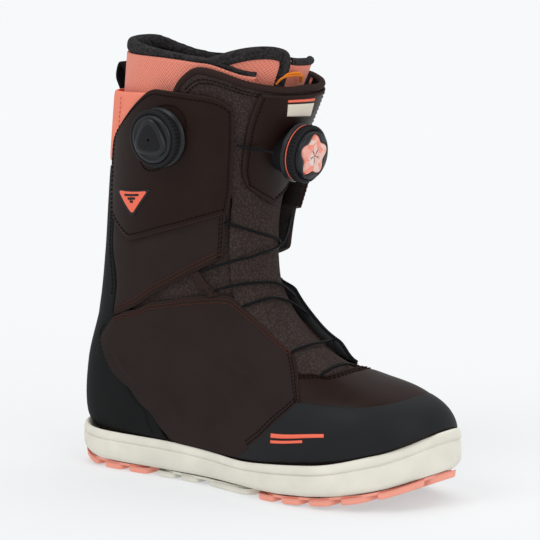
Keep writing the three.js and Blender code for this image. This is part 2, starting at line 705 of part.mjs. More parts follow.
// Webbing loop behind the collar: an upturned U with a finger gap, open to both sides.
function addHeelLoop() {
  const outside = PANEL_OUT + LAYER_GAP + LOOP_THICKNESS / 2;
  const foot = skin(15.2, 180, outside);
  const top = skin(SHAFT_TOP, 180, outside);
  const rise = (x, z) => top.clone().add(new THREE.Vector3(x, 0, z));
  const path = new THREE.CatmullRomCurve3([
    foot,
    new THREE.Vector3().lerpVectors(foot, top, 0.6),
    rise(-0.6, -2),
    rise(LOOP_THICKNESS + 3 - LOOP_OPENING, LOOP_RISE * 0.45),
    rise(3 - LOOP_OPENING / 2, LOOP_RISE),
    rise(3, LOOP_RISE * 0.75),
    rise(4, LOOP_RISE * 0.4),
    rise(4, 3),
  ]);
  const [w, h] = [LOOP_WIDTH / 2, LOOP_THICKNESS / 2];
  const strap = sheetSolid(18, 1, ...[1, -1].map((side) => (u, v) => {
    const p = path.getPointAt(u);
    const tangent = path.getTangentAt(u);
    const out = new THREE.Vector3(-tangent.z, 0, tangent.x);
    return p.addScaledVector(out, side * h).add(new THREE.Vector3(0, (v * 2 - 1) * w, 0));
  }));
  addMesh('heel_loop', strap, LOOKS.black);
}

// ---------------------------------------------------------------- flaps and tongue

const FLAP_EDGES = {
  top: through([[15.2, 126], [15.46, 117.5], [15.72, 109], [15.97, 100], [15.97, 88], [15.88, 73], [15.68, 60], [15.3, 52]]),
  bottom: through([[13.57, 123.5], [13.1, 114.5], [12.7, 107], [12.4, 96], [12.05, 79.5], [11.6, 57], [11.25, 41]]),
  left: through([[15.2, 126], [15.0, 131], [14.6, 133], [14.1, 131], [13.57, 123.5]]),
  right: through([[15.3, 52], [14.7, 48.5], [13.6, 45], [12.6, 42], [11.8, 39.5], [11.25, 41]]),
};

function addFlaps() {
  addPanelPair('flap', LOOKS.satin, FLAP_EDGES, FLAP_OUT, FLAP_IN, 13, 7, standOff);
  addPanel('flap_badge', LOOKS.coral, {
    top: through([[14.05, 121], [13.85, 107], [13.6, 93.5]]),
    bottom: through([[13.2, 107], [13.15, 105.5], [13.13, 104]]),
  }, FLAP_OUT + SEAT_GAP + BADGE_WALL, FLAP_OUT + SEAT_GAP, 6, 4);
}

// Upper edge of the tongue: a tall ear on the outer side, a lower one on the inner side and
// a dip in front.
const OUTER_EAR = through([[15.9, 90], [16.3, 87], [16.62, 79], [16.55, 66], [16.25, 48], [16.0, 28], [15.9, 14], [15.95, 0]]);
const INNER_EAR = through([[15.9, 90], [16.15, 85], [16.3, 76], [16.28, 62], [16.15, 46], [16.0, 28], [15.9, 14], [15.95, 0]]);
const TONGUE_EDGE = (u) => (u < 0.5 ? OUTER_EAR(u * 2) : opposite(INNER_EAR)(2 - u * 2));
const TONGUE_ROOT = (u) => {
  const t = 37 - 37 * u;
  return [stationOn(SHAFT_EDGE, t, 5), t];
};
const TONGUE_SIDE = through([[15.9, 90], [14.6, 74], [13.2, 58], [12.2, 44], [11.4, 37], [stationOn(SHAFT_EDGE, 37, 5), 37]]);

function addTongue() {
  addPanel('tongue_shaft', LOOKS.mesh, {
    top: TONGUE_EDGE,
    bottom: acrossFront(TONGUE_ROOT),
    left: TONGUE_SIDE,
    right: opposite(TONGUE_SIDE),
  }, PANEL_OUT, PANEL_IN, 18, 7);

  const faceSide = through([[15.85, 37], [14.6, 38.5], [13.5, 36.5], [12.6, 33.5], [11.9, 27]]);
  addPanel('tongue_face', LOOKS.satin, {
    top: acrossFront(through([[15.85, 37], [15.7, 20], [15.65, 0]])),
    bottom: acrossFront(through([[11.9, 27], [11.2, 13.5], [10.7, 0]])),
    left: faceSide,
    right: opposite(faceSide),
  }, FACE_OUT, FLAP_IN, 10, 7);

  addPanel('tongue_badge', LOOKS.cream, {
    top: through([[15.55, 17], [15.5, 0], [15.5, -9]]),
    bottom: through([[14.75, 13], [14.65, 0], [14.6, -14]]),
  }, FACE_OUT + SEAT_GAP + BADGE_WALL, FACE_OUT + SEAT_GAP, 6, 3);
}

// ---------------------------------------------------------------- flex gussets

function addGussets() {
  const room = 1.2;
  const low = (t) => stationOn(LOWER_EDGE, t, room);
  const high = (t) => stationOn(SHAFT_EDGE, t, -room);
  addPanel('ankle_gusset', LOOKS.mesh, wrap(-96, 96, low, high), SLEEVE_OUT, SLEEVE_IN, 18, 3);
  addPanel('liner_gusset', LOOKS.fleece, wrap(-96, 96, low, high), LINER_OUT, LINER_IN, 18, 3);
}

// ---------------------------------------------------------------- dials

// A place on the boot whose own z axis points out of the skin, leaning up from its normal.
function placeOut(s, t, h, lean = 0) {
  const out = skinNormal(s, t);
  const up = new THREE.Vector3(0, 0, 1);
  const side = up.clone().cross(out).normalize();
  const place = new THREE.Object3D();
  place.quaternion.setFromRotationMatrix(new THREE.Matrix4().makeBasis(side, out.clone().cross(side), out));
  place.rotateX(-lean * RAD);
  place.position.copy(skin(s, t, h));
  return place;
}

const lathe = (points, segments = 24) => {
  const geometry = new THREE.LatheGeometry(points.map(([r, z]) => new THREE.Vector2(r, z)), segments);
  geometry.rotateX(Math.PI / 2);
  return geometry;
};

// Reel on a stitched ring: base with its axle, spool, knob with a grip ring and a cap.
function addDial(name, s, t, h, lean) {
  const place = placeOut(s, t, h, lean);
  const cup = SPOOL_RADIUS + DIAL_GAP;
  const floor = BASE_HEIGHT;
  const spoolTop = floor + DIAL_GAP + SPOOL_HEIGHT;
  const knobFloor = floor + DIAL_GAP;
  const knobTop = knobFloor + KNOB_HEIGHT;
  const capRadius = KNOB_RADIUS - 5;
  addMesh(`${name}_base`, lathe([
    [0, 0], [BASE_RADIUS + 4, 0], [BASE_RADIUS + 3, 1.4], [BASE_RADIUS, floor], [cup + 2, floor],
    [cup + 2, spoolTop], [cup, spoolTop], [cup, floor], [AXLE_RADIUS, floor], [AXLE_RADIUS, spoolTop + 0.6],
    [0, spoolTop + 0.6],
  ]), LOOKS.plastic, place);
  addMesh(`${name}_spool`, lathe([
    [AXLE_RADIUS + DIAL_GAP, floor + DIAL_GAP], [SPOOL_RADIUS, floor + DIAL_GAP], [SPOOL_RADIUS, floor + 1.2],
    [SPOOL_RADIUS - 2.5, floor + 1.9], [SPOOL_RADIUS, spoolTop - 0.8], [SPOOL_RADIUS, spoolTop],
    [AXLE_RADIUS + DIAL_GAP, spoolTop], [AXLE_RADIUS + DIAL_GAP, floor + DIAL_GAP],
  ]), LOOKS.plastic, place);
  const inside = KNOB_RADIUS - KNOB_WALL - 0.6;
  addMesh(`${name}_knob`, lathe([
    [0, knobTop - KNOB_WALL], [inside - 1, knobTop - KNOB_WALL], [inside, knobTop - KNOB_WALL - 1], [inside, knobFloor],
    [KNOB_RADIUS - 0.6, knobFloor], [KNOB_RADIUS - 0.6, knobTop - 1.5], [KNOB_RADIUS - 2, knobTop], [0, knobTop],
  ]), LOOKS.plastic, place);
  const ridges = [];
  const grip = new THREE.Shape();
  const teeth = 20;
  for (let i = 0; i < teeth * 2; i += 1) {
    const r = KNOB_RADIUS + (i % 2 ? 0.9 : 0);
    const a = Math.PI * i / teeth;
    ridges.push(new THREE.Vector2(r * Math.cos(a), r * Math.sin(a)));
  }
  grip.setFromPoints(ridges);
  const bore = new THREE.Path();
  bore.absarc(0, 0, KNOB_RADIUS - 0.6 + DIAL_GAP, 0, Math.PI * 2, true);
  grip.holes.push(bore);
  const ring = new THREE.ExtrudeGeometry(grip, { depth: KNOB_HEIGHT - 2.4, bevelEnabled: false, curveSegments: 14 });
  ring.translate(0, 0, knobFloor + 0.6);
  addMesh(`${name}_grip`, ring, LOOKS.rubber, place);
  const cap = new THREE.Shape();
  const corner = (i) => Math.PI * (0.5 + i * 2 / 3);
  const inner = capRadius * 0.72;
  cap.moveTo(capRadius * Math.cos(corner(0)), capRadius * Math.sin(corner(0)));
  for (let i = 0; i < 3; i += 1) {
    const a = corner(i) + Math.PI / 3;
    const b = corner(i + 1);
    cap.quadraticCurveTo(inner * 1.25 * Math.cos(a), inner * 1.25 * Math.sin(a), capRadius * Math.cos(b), capRadius * Math.sin(b));
  }
  const plate = new THREE.ExtrudeGeometry(cap, { depth: 1.8, bevelEnabled: false, curveSegments: 5 });
  plate.translate(0, 0, knobTop + SEAT_GAP);
  addMesh(`${name}_cap`, plate, name.startsWith('tongue') ? LOOKS.clear : LOOKS.plastic, place);
}

// How far the front line at height h rises above its tangent plane at station s, within a radius.
function riseAbovePlane(s, h, radius) {
  const at = skin(s, 0, h);
  const out = skinNormal(s, 0);
  let rise = 0;
  for (let step = -2; step <= 2; step += 0.1) {
    const p = skin(s + step, 0, h).sub(at);
    if (p.length() < radius) rise = Math.max(rise, p.dot(out));
  }
  return rise;
}

// Wedge between the tongue and the back of its dial.
function addDialMount(s, lean, height) {
  const place = placeOut(s, 0, FACE_OUT + height, lean);
  const steps = 28;
  const points = [];
  const faces = [];
  const seat = riseAbovePlane(s, FACE_OUT, BASE_RADIUS + 3) + 2 * SEAT_GAP;
  const foot = (seat - height) / Math.cos(lean * RAD);
  const slope = Math.tan(lean * RAD);
  const rings = [
    [BASE_RADIUS - 3, (y) => foot + y * slope],
    [BASE_RADIUS + 1, () => -SEAT_GAP],
  ];
  for (const [radius, depth] of rings) {
    for (let i = 0; i < steps; i += 1) {
      const a = 2 * Math.PI * i / steps;
      const y = radius * Math.sin(a);
      points.push(new THREE.Vector3(radius * Math.cos(a), y, depth(y)));
    }
  }
  for (let i = 0; i < steps; i += 1) {
    const k = (i + 1) % steps;
    faces.push([i, k, steps + k], [i, steps + k, steps + i]);
    if (i > 0 && i < steps - 1) faces.push([0, i + 1, i], [steps, steps + i, steps + i + 1]);
  }
  addMesh('tongue_dial_mount', solidGeometry(points, faces), LOOKS.rubber, place);
}

// ---------------------------------------------------------------- laces and guides

// Round cord through points on the skin: [station, angle, height].
function laceGeometry(stops) {
  const path = new THREE.CatmullRomCurve3(stops.map(([s, t, h]) => skin(s, t, h)));
  const length = path.getLength();
  const steps = Math.max(3, Math.min(40, Math.round(length / 6)));
  const sides = 8;
  const points = [];
  const faces = [];
  const frames = path.computeFrenetFrames(steps, false);
  for (let i = 0; i <= steps; i += 1) {
    const p = path.getPointAt(i / steps);
    for (let j = 0; j < sides; j += 1) {
      const a = 2 * Math.PI * j / sides;
      points.push(p.clone().addScaledVector(frames.normals[i], LACE_RADIUS * Math.cos(a))
        .addScaledVector(frames.binormals[i], LACE_RADIUS * Math.sin(a)));
    }
  }
  const ends = [path.getPointAt(0), path.getPointAt(1)].map((p) => points.push(p) - 1);
  for (let j = 0; j < sides; j += 1) {
    const k = (j + 1) % sides;
    for (let i = 0; i < steps; i += 1) {
      const [a, b] = [i * sides + j, i * sides + k];
      faces.push([a, b, b + sides], [a, b + sides, a + sides]);
    }
    faces.push([k, j, ends[0]], [steps * sides + j, steps * sides + k, ends[1]]);
  }
  return solidGeometry(points, faces);
}

// Heights of a lace that runs over a panel, and of one that crosses another lace.
const ON_PANEL = PANEL_OUT + LACE_RADIUS + 0.6;
const OVER_LACE = ON_PANEL + 2 * LACE_RADIUS + 1.6;
const GUIDE_IN = PANEL_OUT + LAYER_GAP;
const ON_FLAP = FLAP_OUT + LACE_RADIUS + 0.5;

const LACES = {
  lace_tongue_outer: [[13.95, 44, ON_FLAP], [13.72, 35.5, ON_FLAP + 1], [13.54, 27.2, ON_FLAP + 3.2],
    [13.42, 20, ON_FLAP + 6.7]],
  lace_tongue_inner: [[13.95, -44, ON_FLAP], [13.72, -35.5, ON_FLAP + 1], [13.54, -27.2, ON_FLAP + 3.2],
    [13.42, -20, ON_FLAP + 6.7]],
  lace_ankle_high: [[10.85, 37, ON_PANEL], [9.95, 20, ON_PANEL + 0.8], [9.14, -7, ON_PANEL + 0.8], [8.8, -22, ON_PANEL]],
  lace_ankle_mid: [[9.55, 45, ON_PANEL + 0.5], [9.4, 36, OVER_LACE], [8.95, 15, OVER_LACE], [9.17, -12, OVER_LACE],
    [10.7, -36, OVER_LACE]],
  lace_ankle_low: [[9.0, 45, ON_PANEL + 0.5], [8.4, 33, ON_PANEL + 0.8], [7.73, 0, ON_PANEL + 1.6], [7.5, -22, ON_PANEL]],
  lace_instep_high: [[7.75, 33, ON_PANEL], [7.4, 20, ON_PANEL], [7.1, 0, ON_PANEL], [6.9, -22, ON_PANEL]],
  lace_instep_mid: [[5.65, 27, ON_PANEL], [5.45, 14, ON_PANEL], [5.45, -5, ON_PANEL], [5.6, -22, ON_PANEL]],
  lace_instep_low: [[4.75, 31, ON_PANEL], [4.6, 17, ON_PANEL], [4.45, 4, ON_PANEL], [4.6, -20, ON_PANEL]],
};

function addLaces() {
  for (const [name, stops] of Object.entries(LACES)) addMesh(name, laceGeometry(stops), LOOKS.lace);

  // A webbing loop holds the ankle lace on the outer side, a moulded track on the inner side.
  addPanel('ankle_guide', LOOKS.black, {
    top: through([[9.4, 47], [9.35, 57]]),
    bottom: through([[8.8, 47], [8.88, 57]]),
  }, GUIDE_IN + GUIDE_WALL + GUIDE_STANDOFF, GUIDE_IN + GUIDE_STANDOFF, 3, 4);

  // The track stands up along the tongue and lies down on the quarter.
  const rise = (u, v) => TRACK_RISE * smooth(u, 0, 0.2) * (1 - smooth(u, 0.8, 1)) * (1 - v);
  addPanel('guide_track', LOOKS.plastic, {
    top: through([[8.6, -39], [8.1, -35], [6.8, -28.5], [5.97, -27.5], [4.9, -27.5]]),
    bottom: through([[8.6, -46], [8.1, -43], [6.8, -36.5], [5.97, -36], [5.0, -38]]),
  }, (u, v) => GUIDE_IN + GUIDE_WALL + rise(u, v), (u, v) => GUIDE_IN + rise(u, v), 12, 3);
}

const group = new THREE.Group();
group.name = 'snowboard_boot';

addSole();
addTread();
addLowerBoot();
addLowerPanels();
addShaft();
addHeelLoop();
addFlaps();
addTongue();
addGussets();
addDial('shaft_dial', 14.85, 91.5, FLAP_OUT + SEAT_GAP, 0);
addDial('tongue_dial', 13.25, 0, FACE_OUT + MOUNT_HEIGHT, MOUNT_LEAN);
addDialMount(13.25, MOUNT_LEAN, MOUNT_HEIGHT);
addLaces();

for (const mesh of meshes) group.add(mesh);

export default group;
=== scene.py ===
"""Looks of a snowboard boot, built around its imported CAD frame.

Lengths in this script are millimetres in the frame of the part (+X heel to toe, +Y inner side, +Z up) until a
mesh is made, which turns them into metres.
"""

import json
import math

import bpy
import numpy as np
from mathutils import Matrix, Vector


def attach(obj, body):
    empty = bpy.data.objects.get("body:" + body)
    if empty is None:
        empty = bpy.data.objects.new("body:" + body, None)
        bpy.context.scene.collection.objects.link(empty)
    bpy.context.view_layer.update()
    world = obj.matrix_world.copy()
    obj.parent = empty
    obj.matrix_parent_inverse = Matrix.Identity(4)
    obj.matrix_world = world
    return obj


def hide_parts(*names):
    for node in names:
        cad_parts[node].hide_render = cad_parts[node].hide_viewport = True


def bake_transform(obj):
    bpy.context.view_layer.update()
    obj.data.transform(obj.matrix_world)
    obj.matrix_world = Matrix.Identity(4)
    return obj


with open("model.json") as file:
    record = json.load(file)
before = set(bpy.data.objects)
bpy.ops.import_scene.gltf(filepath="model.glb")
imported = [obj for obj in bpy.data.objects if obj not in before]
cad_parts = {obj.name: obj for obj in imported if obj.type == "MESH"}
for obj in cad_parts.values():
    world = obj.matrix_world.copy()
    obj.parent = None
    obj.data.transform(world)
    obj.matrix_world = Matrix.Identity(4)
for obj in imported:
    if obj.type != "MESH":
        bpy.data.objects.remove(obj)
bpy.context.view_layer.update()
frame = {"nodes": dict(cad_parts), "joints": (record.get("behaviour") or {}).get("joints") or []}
MM = 0.001

# ------------------------------------------------------------------ camera and light

CAMERA_TURN = math.radians(37.0)
CAMERA_RISE = math.radians(8.7)
CAMERA_DISTANCE = 1900.0
CAMERA_LENS = 187.0
CAMERA_SENSOR = 36.0
CAMERA_SIGHT = 200.0
LOOK_AT = (2.0, 2.0, 145.0)
SUNS = [  # name, direction, spread in degrees, strength
    ("key", (-0.5, -1.6, 1.7), 32.0, 0.75),
    ("side", (1.9, -0.6, 0.9), 45.0, 0.80),
    ("top", (0.1, 0.5, 2.0), 60.0, 0.85),
]
SURROUNDINGS, SURROUNDINGS_STRENGTH = (0.94, 0.955, 0.965, 1.0), 0.64
FLOOR_REACH = 60.0
FLOOR_COLOUR, FLOOR_GLOW = (0.40, 0.404, 0.408), (0.475, 0.485, 0.49, 1.0)


def add_camera():
    """Camera in front of the outer side, a little above the middle of the boot, which it looks at."""
    back = Vector(
        (
            math.sin(CAMERA_TURN) * math.cos(CAMERA_RISE),
            -math.cos(CAMERA_TURN) * math.cos(CAMERA_RISE),
            math.sin(CAMERA_RISE),
        )
    )
    data = bpy.data.cameras.new("camera")
    data.lens = CAMERA_LENS
    data.sensor_width = CAMERA_SENSOR
    data.clip_end = CAMERA_SIGHT
    camera = bpy.data.objects.new("camera", data)
    camera.location = (Vector(LOOK_AT) + back * CAMERA_DISTANCE) * MM
    camera.rotation_euler = back.to_track_quat("Z", "Y").to_euler()
    bpy.context.scene.collection.objects.link(camera)
    bpy.context.scene.camera = camera


def add_soft_sun(name, towards, spread, power):
    """Even light from far away, as from a wide soft box."""
    data = bpy.data.lights.new(name, "SUN")
    data.energy = power
    data.angle = math.radians(spread)
    light = bpy.data.objects.new(name, data)
    light.rotation_euler = Vector(towards).to_track_quat("Z", "Y").to_euler()
    bpy.context.scene.collection.objects.link(light)


def add_studio():
    """Pale floor, even pale surroundings and three soft lights."""
    scene = bpy.context.scene
    world = bpy.data.worlds.new("studio")
    world.use_nodes = True
    background = world.node_tree.nodes["Background"]
    background.inputs["Color"].default_value = SURROUNDINGS
    background.inputs["Strength"].default_value = SURROUNDINGS_STRENGTH
    scene.world = world
    scene.view_settings.view_transform = "Standard"
    scene.view_settings.look = "None"
    for sun in SUNS:
        add_soft_sun(*sun)
    mesh = bpy.data.meshes.new("floor")
    corners = [(x * FLOOR_REACH, y * FLOOR_REACH, 0) for x, y in ((-1, -1), (1, -1), (1, 1), (-1, 1))]
    mesh.from_pydata(corners, [], [(0, 1, 2, 3)])
    floor = bpy.data.objects.new("floor", mesh)
    scene.collection.objects.link(floor)
    paper = Nodes("floor_white", FLOOR_COLOUR, 1.0, Specular_IOR_Level=0.0, Emission_Strength=1.0)
    paper.set("Emission Color", FLOOR_GLOW)
    floor.data.materials.append(paper.material)


# ------------------------------------------------------------------ materials


class Nodes:
    """Small helper to write a shader's nodes as nested calls."""

    def __init__(self, name, base, roughness, **sockets):
        self.material = bpy.data.materials.new(name)
        self.material.use_nodes = True
        self.tree = self.material.node_tree
        self.shader = self.tree.nodes["Principled BSDF"]
        self.set("Base Color", (*base, 1.0))
        self.set("Roughness", roughness)
        for socket, value in sockets.items():
            self.set(socket.replace("_", " "), value)

    def set(self, socket, value):
        self.shader.inputs[socket].default_value = value

    def node(self, kind, inputs=None, **settings):
        node = self.tree.nodes.new(kind)
        for key, value in settings.items():
            setattr(node, key, value)
        for key, value in (inputs or {}).items():
            if isinstance(value, bpy.types.NodeSocket):
                self.tree.links.new(value, node.inputs[key])
            else:
                node.inputs[key].default_value = value
        return node

    def place(self, uv=False):
        """Coordinates in metres: the piece's own place, or its sewn pattern's plane."""
        node = self.node("ShaderNodeTexCoord")
        return node.outputs["UV" if uv else "Object"]

    def mapped(self, vector, scale=(1, 1, 1), turn=0.0):
        node = self.node("ShaderNodeMapping", {"Vector": vector, "Scale": scale, "Rotation": (0, 0, turn)})
        return node.outputs[0]

    def noise(self, vector, scale, detail=2.0, roughness=0.5):
        return self.node(
            "ShaderNodeTexNoise", {"Vector": vector, "Scale": scale, "Detail": detail, "Roughness": roughness}
        ).outputs["Fac"]

    def cells(self, vector, scale, feature="F1", output="Distance"):
        return self.node("ShaderNodeTexVoronoi", {"Vector": vector, "Scale": scale}, feature=feature).outputs[output]

    def math(self, operation, a, b=0.0, clamp=False):
        return self.node("ShaderNodeMath", {0: a, 1: b}, operation=operation, use_clamp=clamp).outputs[0]

    def range(self, value, low, high, to_low=0.0, to_high=1.0):
        return self.node(
            "ShaderNodeMapRange",
            {"Value": value, "From Min": low, "From Max": high, "To Min": to_low, "To Max": to_high},
        ).outputs[0]

    def mix(self, factor, a, b):
        node = self.node("ShaderNodeMix", data_type="RGBA")
        sockets = [node.inputs[0], node.inputs[6], node.inputs[7]]
        for socket, value in zip(sockets, (factor, a, b)):
            if isinstance(value, bpy.types.NodeSocket):
                self.tree.links.new(value, socket)
            elif isinstance(value, tuple):
                socket.default_value = (*value, 1.0)
            else:
                socket.default_value = value
        return node.outputs[2]

    def colour(self, socket):
        self.tree.links.new(socket, self.shader.inputs["Base Color"])

    def rough(self, socket):
        self.tree.links.new(socket, self.shader.inputs["Roughness"])

    def bump(self, *layers):
        """Bump from (height, depth in millimetres) layers, laid over each other."""
        normal = None
        for height, depth in layers:
            inputs = {"Height": height, "Distance": depth * MM, "Strength": 1.0}
            if normal is not None:
                inputs["Normal"] = normal
            normal = self.node("ShaderNodeBump", inputs).outputs[0]
        self.tree.links.new(normal, self.shader.inputs["Normal"])


def shade(colour, factor):
    return tuple(min(c * factor, 1.0) for c in colour)


SATIN = (0.0162, 0.0076, 0.0058)
MATTE = (0.0235, 0.0160, 0.0146)
MESH = (0.0490, 0.0350, 0.0315)
BLACK = (0.0100, 0.0102, 0.0108)
RUBBER = (0.0125, 0.0130, 0.0142)
CORAL = (0.93, 0.27, 0.185)
CORAL_RUBBER = (0.90, 0.36, 0.27)
CREAM = (0.74, 0.71, 0.62)
FLEECE = (0.0190, 0.0172, 0.0175)
PLASTIC = (0.0090, 0.0098, 0.0118)
RUST = (0.080, 0.028, 0.018)
DULL = 0.05


def leather_material(name, colour, roughness, grain=0.05, mottle=0.12):
    """Coated synthetic leather: fine pebble grain, soft colour clouds and a little wear."""
    m = Nodes(name, colour, roughness, Specular_IOR_Level=0.10)
    p = m.place()
    clouds = m.noise(p, 28.0, 4.0, 0.6)
    fine = m.noise(p, 900.0, 2.0)
    tone = m.range(clouds, 0.3, 0.7, 0.0, 1.0)
    m.colour(m.mix(tone, shade(colour, 1 - mottle), shade(colour, 1 + mottle * 1.6)))
    wear = m.math("ADD", clouds, m.math("MULTIPLY", fine, 0.5))
    m.rough(m.range(wear, 0.4, 1.1, roughness - 0.06, roughness + 0.10))
    pebbles = m.cells(p, 1500.0)
    m.bump((pebbles, grain), (m.noise(p, 140.0, 3.0), 0.10))
    return m.material


def nubuck_material(name, colour, roughness):
    """Matte brushed upper: short nap that catches light in patches."""
    m = Nodes(name, colour, roughness, Specular_IOR_Level=DULL, Sheen_Weight=0.015, Sheen_Roughness=0.5)
    p = m.place()
    patches = m.noise(p, 22.0, 5.0, 0.62)
    nap = m.noise(p, 1300.0, 3.0, 0.7)
    tone = m.range(m.math("ADD", patches, m.math("MULTIPLY", nap, 0.35)), 0.42, 0.95)
    m.colour(m.mix(tone, shade(colour, 0.86), shade(colour, 1.2)))
    m.bump((nap, 0.07), (m.noise(p, 90.0, 3.0), 0.12))
    return m.material


def weave_material(name, colour, pitch, depth, contrast=0.35, roughness=0.85, turn=0.0, sheen=0.0):
    """Woven or knitted cloth: two crossing sets of yarns over the piece's own pattern plane."""
    m = Nodes(name, colour, roughness, Specular_IOR_Level=DULL, Sheen_Weight=sheen, Sheen_Roughness=0.45)
    p = m.mapped(m.place(uv=True), (1, 1, 1), turn)
    xyz = m.node("ShaderNodeSeparateXYZ", {0: p})
    wave = 2 * math.pi / (pitch * MM)
    across = m.math("SINE", m.math("MULTIPLY", xyz.outputs[0], wave))
    along = m.math("SINE", m.math("MULTIPLY", xyz.outputs[1], wave))
    cross = m.math("MULTIPLY", across, along)
    yarn = m.range(cross, -1.0, 1.0)
    fibre = m.noise(p, 2500.0, 2.0)
    tone = m.math("ADD", m.math("MULTIPLY", yarn, 0.8), m.math("MULTIPLY", fibre, 0.2))
    m.colour(m.mix(tone, shade(colour, 1 - contrast), shade(colour, 1 + contrast)))
    m.bump((yarn, depth), (fibre, 0.03))
    return m.material


def mesh_material(name, colour, cell, depth):
    """Close air mesh: small dark eyes between rounded yarns."""
    m = Nodes(name, colour, 0.85, Specular_IOR_Level=DULL)
    p = m.place()
    eyes = m.range(m.cells(p, 1 / (cell * MM)), 0.1, 0.65, 1.0, 0.0)
    tone = m.math("ADD", eyes, m.range(m.noise(p, 60.0, 3.0), 0.3, 0.7, -0.12, 0.12))
    m.colour(m.mix(tone, shade(colour, 0.62), shade(colour, 1.3)))
    m.bump((eyes, depth), (m.noise(p, 2500.0), 0.04))
    return m.material


def star_material(name):
    """Clear cap over a coral disc, drawn as glossy coral with pale facets: the pale on the facets is a painted
    highlight, standing in for light caught in the clear cap.
    """
    m = Nodes(name, CORAL, 0.12, Specular_IOR_Level=0.5, Coat_Weight=0.5, Coat_Roughness=0.05)
    facets = m.cells(m.place(), 210.0, output="Color")
    pale = m.range(m.node("ShaderNodeSeparateColor", {0: facets}).outputs[0], 0.35, 0.9)
    # Painted highlight: pale facets (0.78, 0.60, 0.54) mixed into the coral stand in for light caught in the clear
    # cap; the same mask raises the facets.
    m.colour(m.mix(pale, (0.86, 0.24, 0.15), (0.78, 0.60, 0.54)))
    m.bump((pale, 0.25))
    return m.material


def knit_material(name, colour, pitch, depth):
    """Diagonal rib knit: slanted rows of short stitches."""
    m = Nodes(name, colour, 0.75, Sheen_Weight=0.25, Sheen_Roughness=0.4, Sheen_Tint=(1.0, 0.75, 0.68, 1.0))
    xyz = m.node("ShaderNodeSeparateXYZ", {0: m.mapped(m.place(uv=True), (1, 1, 1), math.radians(38))})
    wave = 2 * math.pi / (pitch * MM)
    rows = m.math("SINE", m.math("MULTIPLY", xyz.outputs[1], wave))
    slant = m.math("ADD", xyz.outputs[0], m.math("MULTIPLY", rows, pitch * MM * 0.2))
    step = m.math("SINE", m.math("MULTIPLY", slant, wave * 0.62))
    height = m.range(m.math("ADD", rows, m.math("MULTIPLY", step, 0.55)), -1.5, 1.5)
    m.colour(m.mix(height, shade(colour, 0.62), shade(colour, 1.12)))
    m.bump((height, depth), (m.noise(m.place(uv=True), 2500.0), 0.03))
    return m.material


def fleece_material(name, colour):
    """Deep black pile: clumped loops with soft sheen."""
    m = Nodes(name, colour, 1.0, Specular_IOR_Level=0.05, Sheen_Weight=0.03, Sheen_Roughness=0.6)
    p = m.place()
    clumps = m.noise(p, 420.0, 4.0, 0.7)
    pile = m.noise(p, 1800.0, 3.0, 0.8)
    m.colour(m.mix(m.range(clumps, 0.35, 0.65), shade(colour, 0.5), shade(colour, 2.4)))
    m.bump((clumps, 1.1), (pile, 0.35))
    return m.material


def rubber_material(name, colour, roughness=0.55, grain=0.05):
    """Moulded rubber or foam: faint moulding grain and uneven gloss."""
    m = Nodes(name, colour, roughness, Specular_IOR_Level=0.14)
    p = m.place()
    clouds = m.noise(p, 45.0, 4.0)
    grains = m.noise(p, 1600.0, 2.0)
    m.colour(m.mix(m.range(clouds, 0.3, 0.7), shade(colour, 0.94), shade(colour, 1.07)))
    m.rough(m.range(m.math("ADD", clouds, grains), 0.6, 1.4, roughness - 0.08, roughness + 0.1))
    m.bump((grains, grain))
    return m.material


def plastic_material(name, colour, roughness, **sockets):
    m = Nodes(name, colour, roughness, **{"Specular_IOR_Level": 0.3, **sockets})
    p = m.place()
    m.rough(m.range(m.noise(p, 220.0, 3.0), 0.3, 0.7, roughness - 0.05, roughness + 0.08))
    m.bump((m.noise(p, 2200.0, 2.0), 0.012))
    return m.material


LOOKS = {
    "satin_shell": leather_material("satin_shell", SATIN, 0.42),
    "matte_shell": nubuck_material("matte_shell", MATTE, 0.62),
    "mesh_textile": mesh_material("mesh_textile", MESH, 1.5, 0.3),
    "black_textile": nubuck_material("black_textile", BLACK, 0.7),
    "webbing": weave_material("webbing", (0.012, 0.012, 0.013), 1.3, 0.3, 0.5),
    "black_rubber": rubber_material("black_rubber", RUBBER, 0.52, 0.03),
    "coral_trim": knit_material("coral_trim", CORAL, 1.5, 0.3),
    "coral_cloth": weave_material("coral_cloth", CORAL, 0.9, 0.12, 0.12, 0.7),
    "coral_rubber": rubber_material("coral_rubber", CORAL_RUBBER, 0.55),
    "cream_foam": rubber_material("cream_foam", CREAM, 0.6, 0.04),
    "fleece": fleece_material("fleece", FLEECE),
    "binding": weave_material("binding", (0.010, 0.010, 0.011), 0.8, 0.15, 0.4),
    "black_thread": weave_material("black_thread", (0.012, 0.012, 0.013), 0.6, 0.1, 0.3),
    "coral_thread": weave_material("coral_thread", (0.62, 0.17, 0.11), 0.6, 0.1, 0.3),
    "brown_cloth": weave_material("brown_cloth", (0.030, 0.018, 0.0155), 0.9, 0.12, 0.3, 0.7),
    "brown_thread": weave_material("brown_thread", (0.010, 0.0055, 0.0045), 0.6, 0.1, 0.3),
    "rust_thread": weave_material("rust_thread", RUST, 0.6, 0.1, 0.3),
    "dial_plastic": plastic_material("dial_plastic", PLASTIC, 0.34),
    "dial_grip": rubber_material("dial_grip", (0.011, 0.011, 0.0125), 0.6, 0.06),
    "clear_plastic": star_material("clear_plastic"),
    "lace": weave_material("lace", (0.008, 0.0085, 0.0095), 0.7, 0.08, 0.3, 0.45),
    "orange_cord": weave_material("orange_cord", (0.85, 0.24, 0.03), 0.8, 0.12, 0.2),
    "cream_badge": plastic_material("cream_badge", (0.70, 0.64, 0.53), 0.55),
    "coral_badge": plastic_material("coral_badge", (0.86, 0.15, 0.085), 0.5),
    "black_badge": plastic_material("black_badge", (0.008, 0.007, 0.007), 0.6),
    "foam": rubber_material("foam", (0.34, 0.34, 0.32), 0.9, 0.2),
    "board": rubber_material("board", (0.10, 0.09, 0.08), 0.85, 0.05),
}

# ------------------------------------------------------------------ skin of the boot

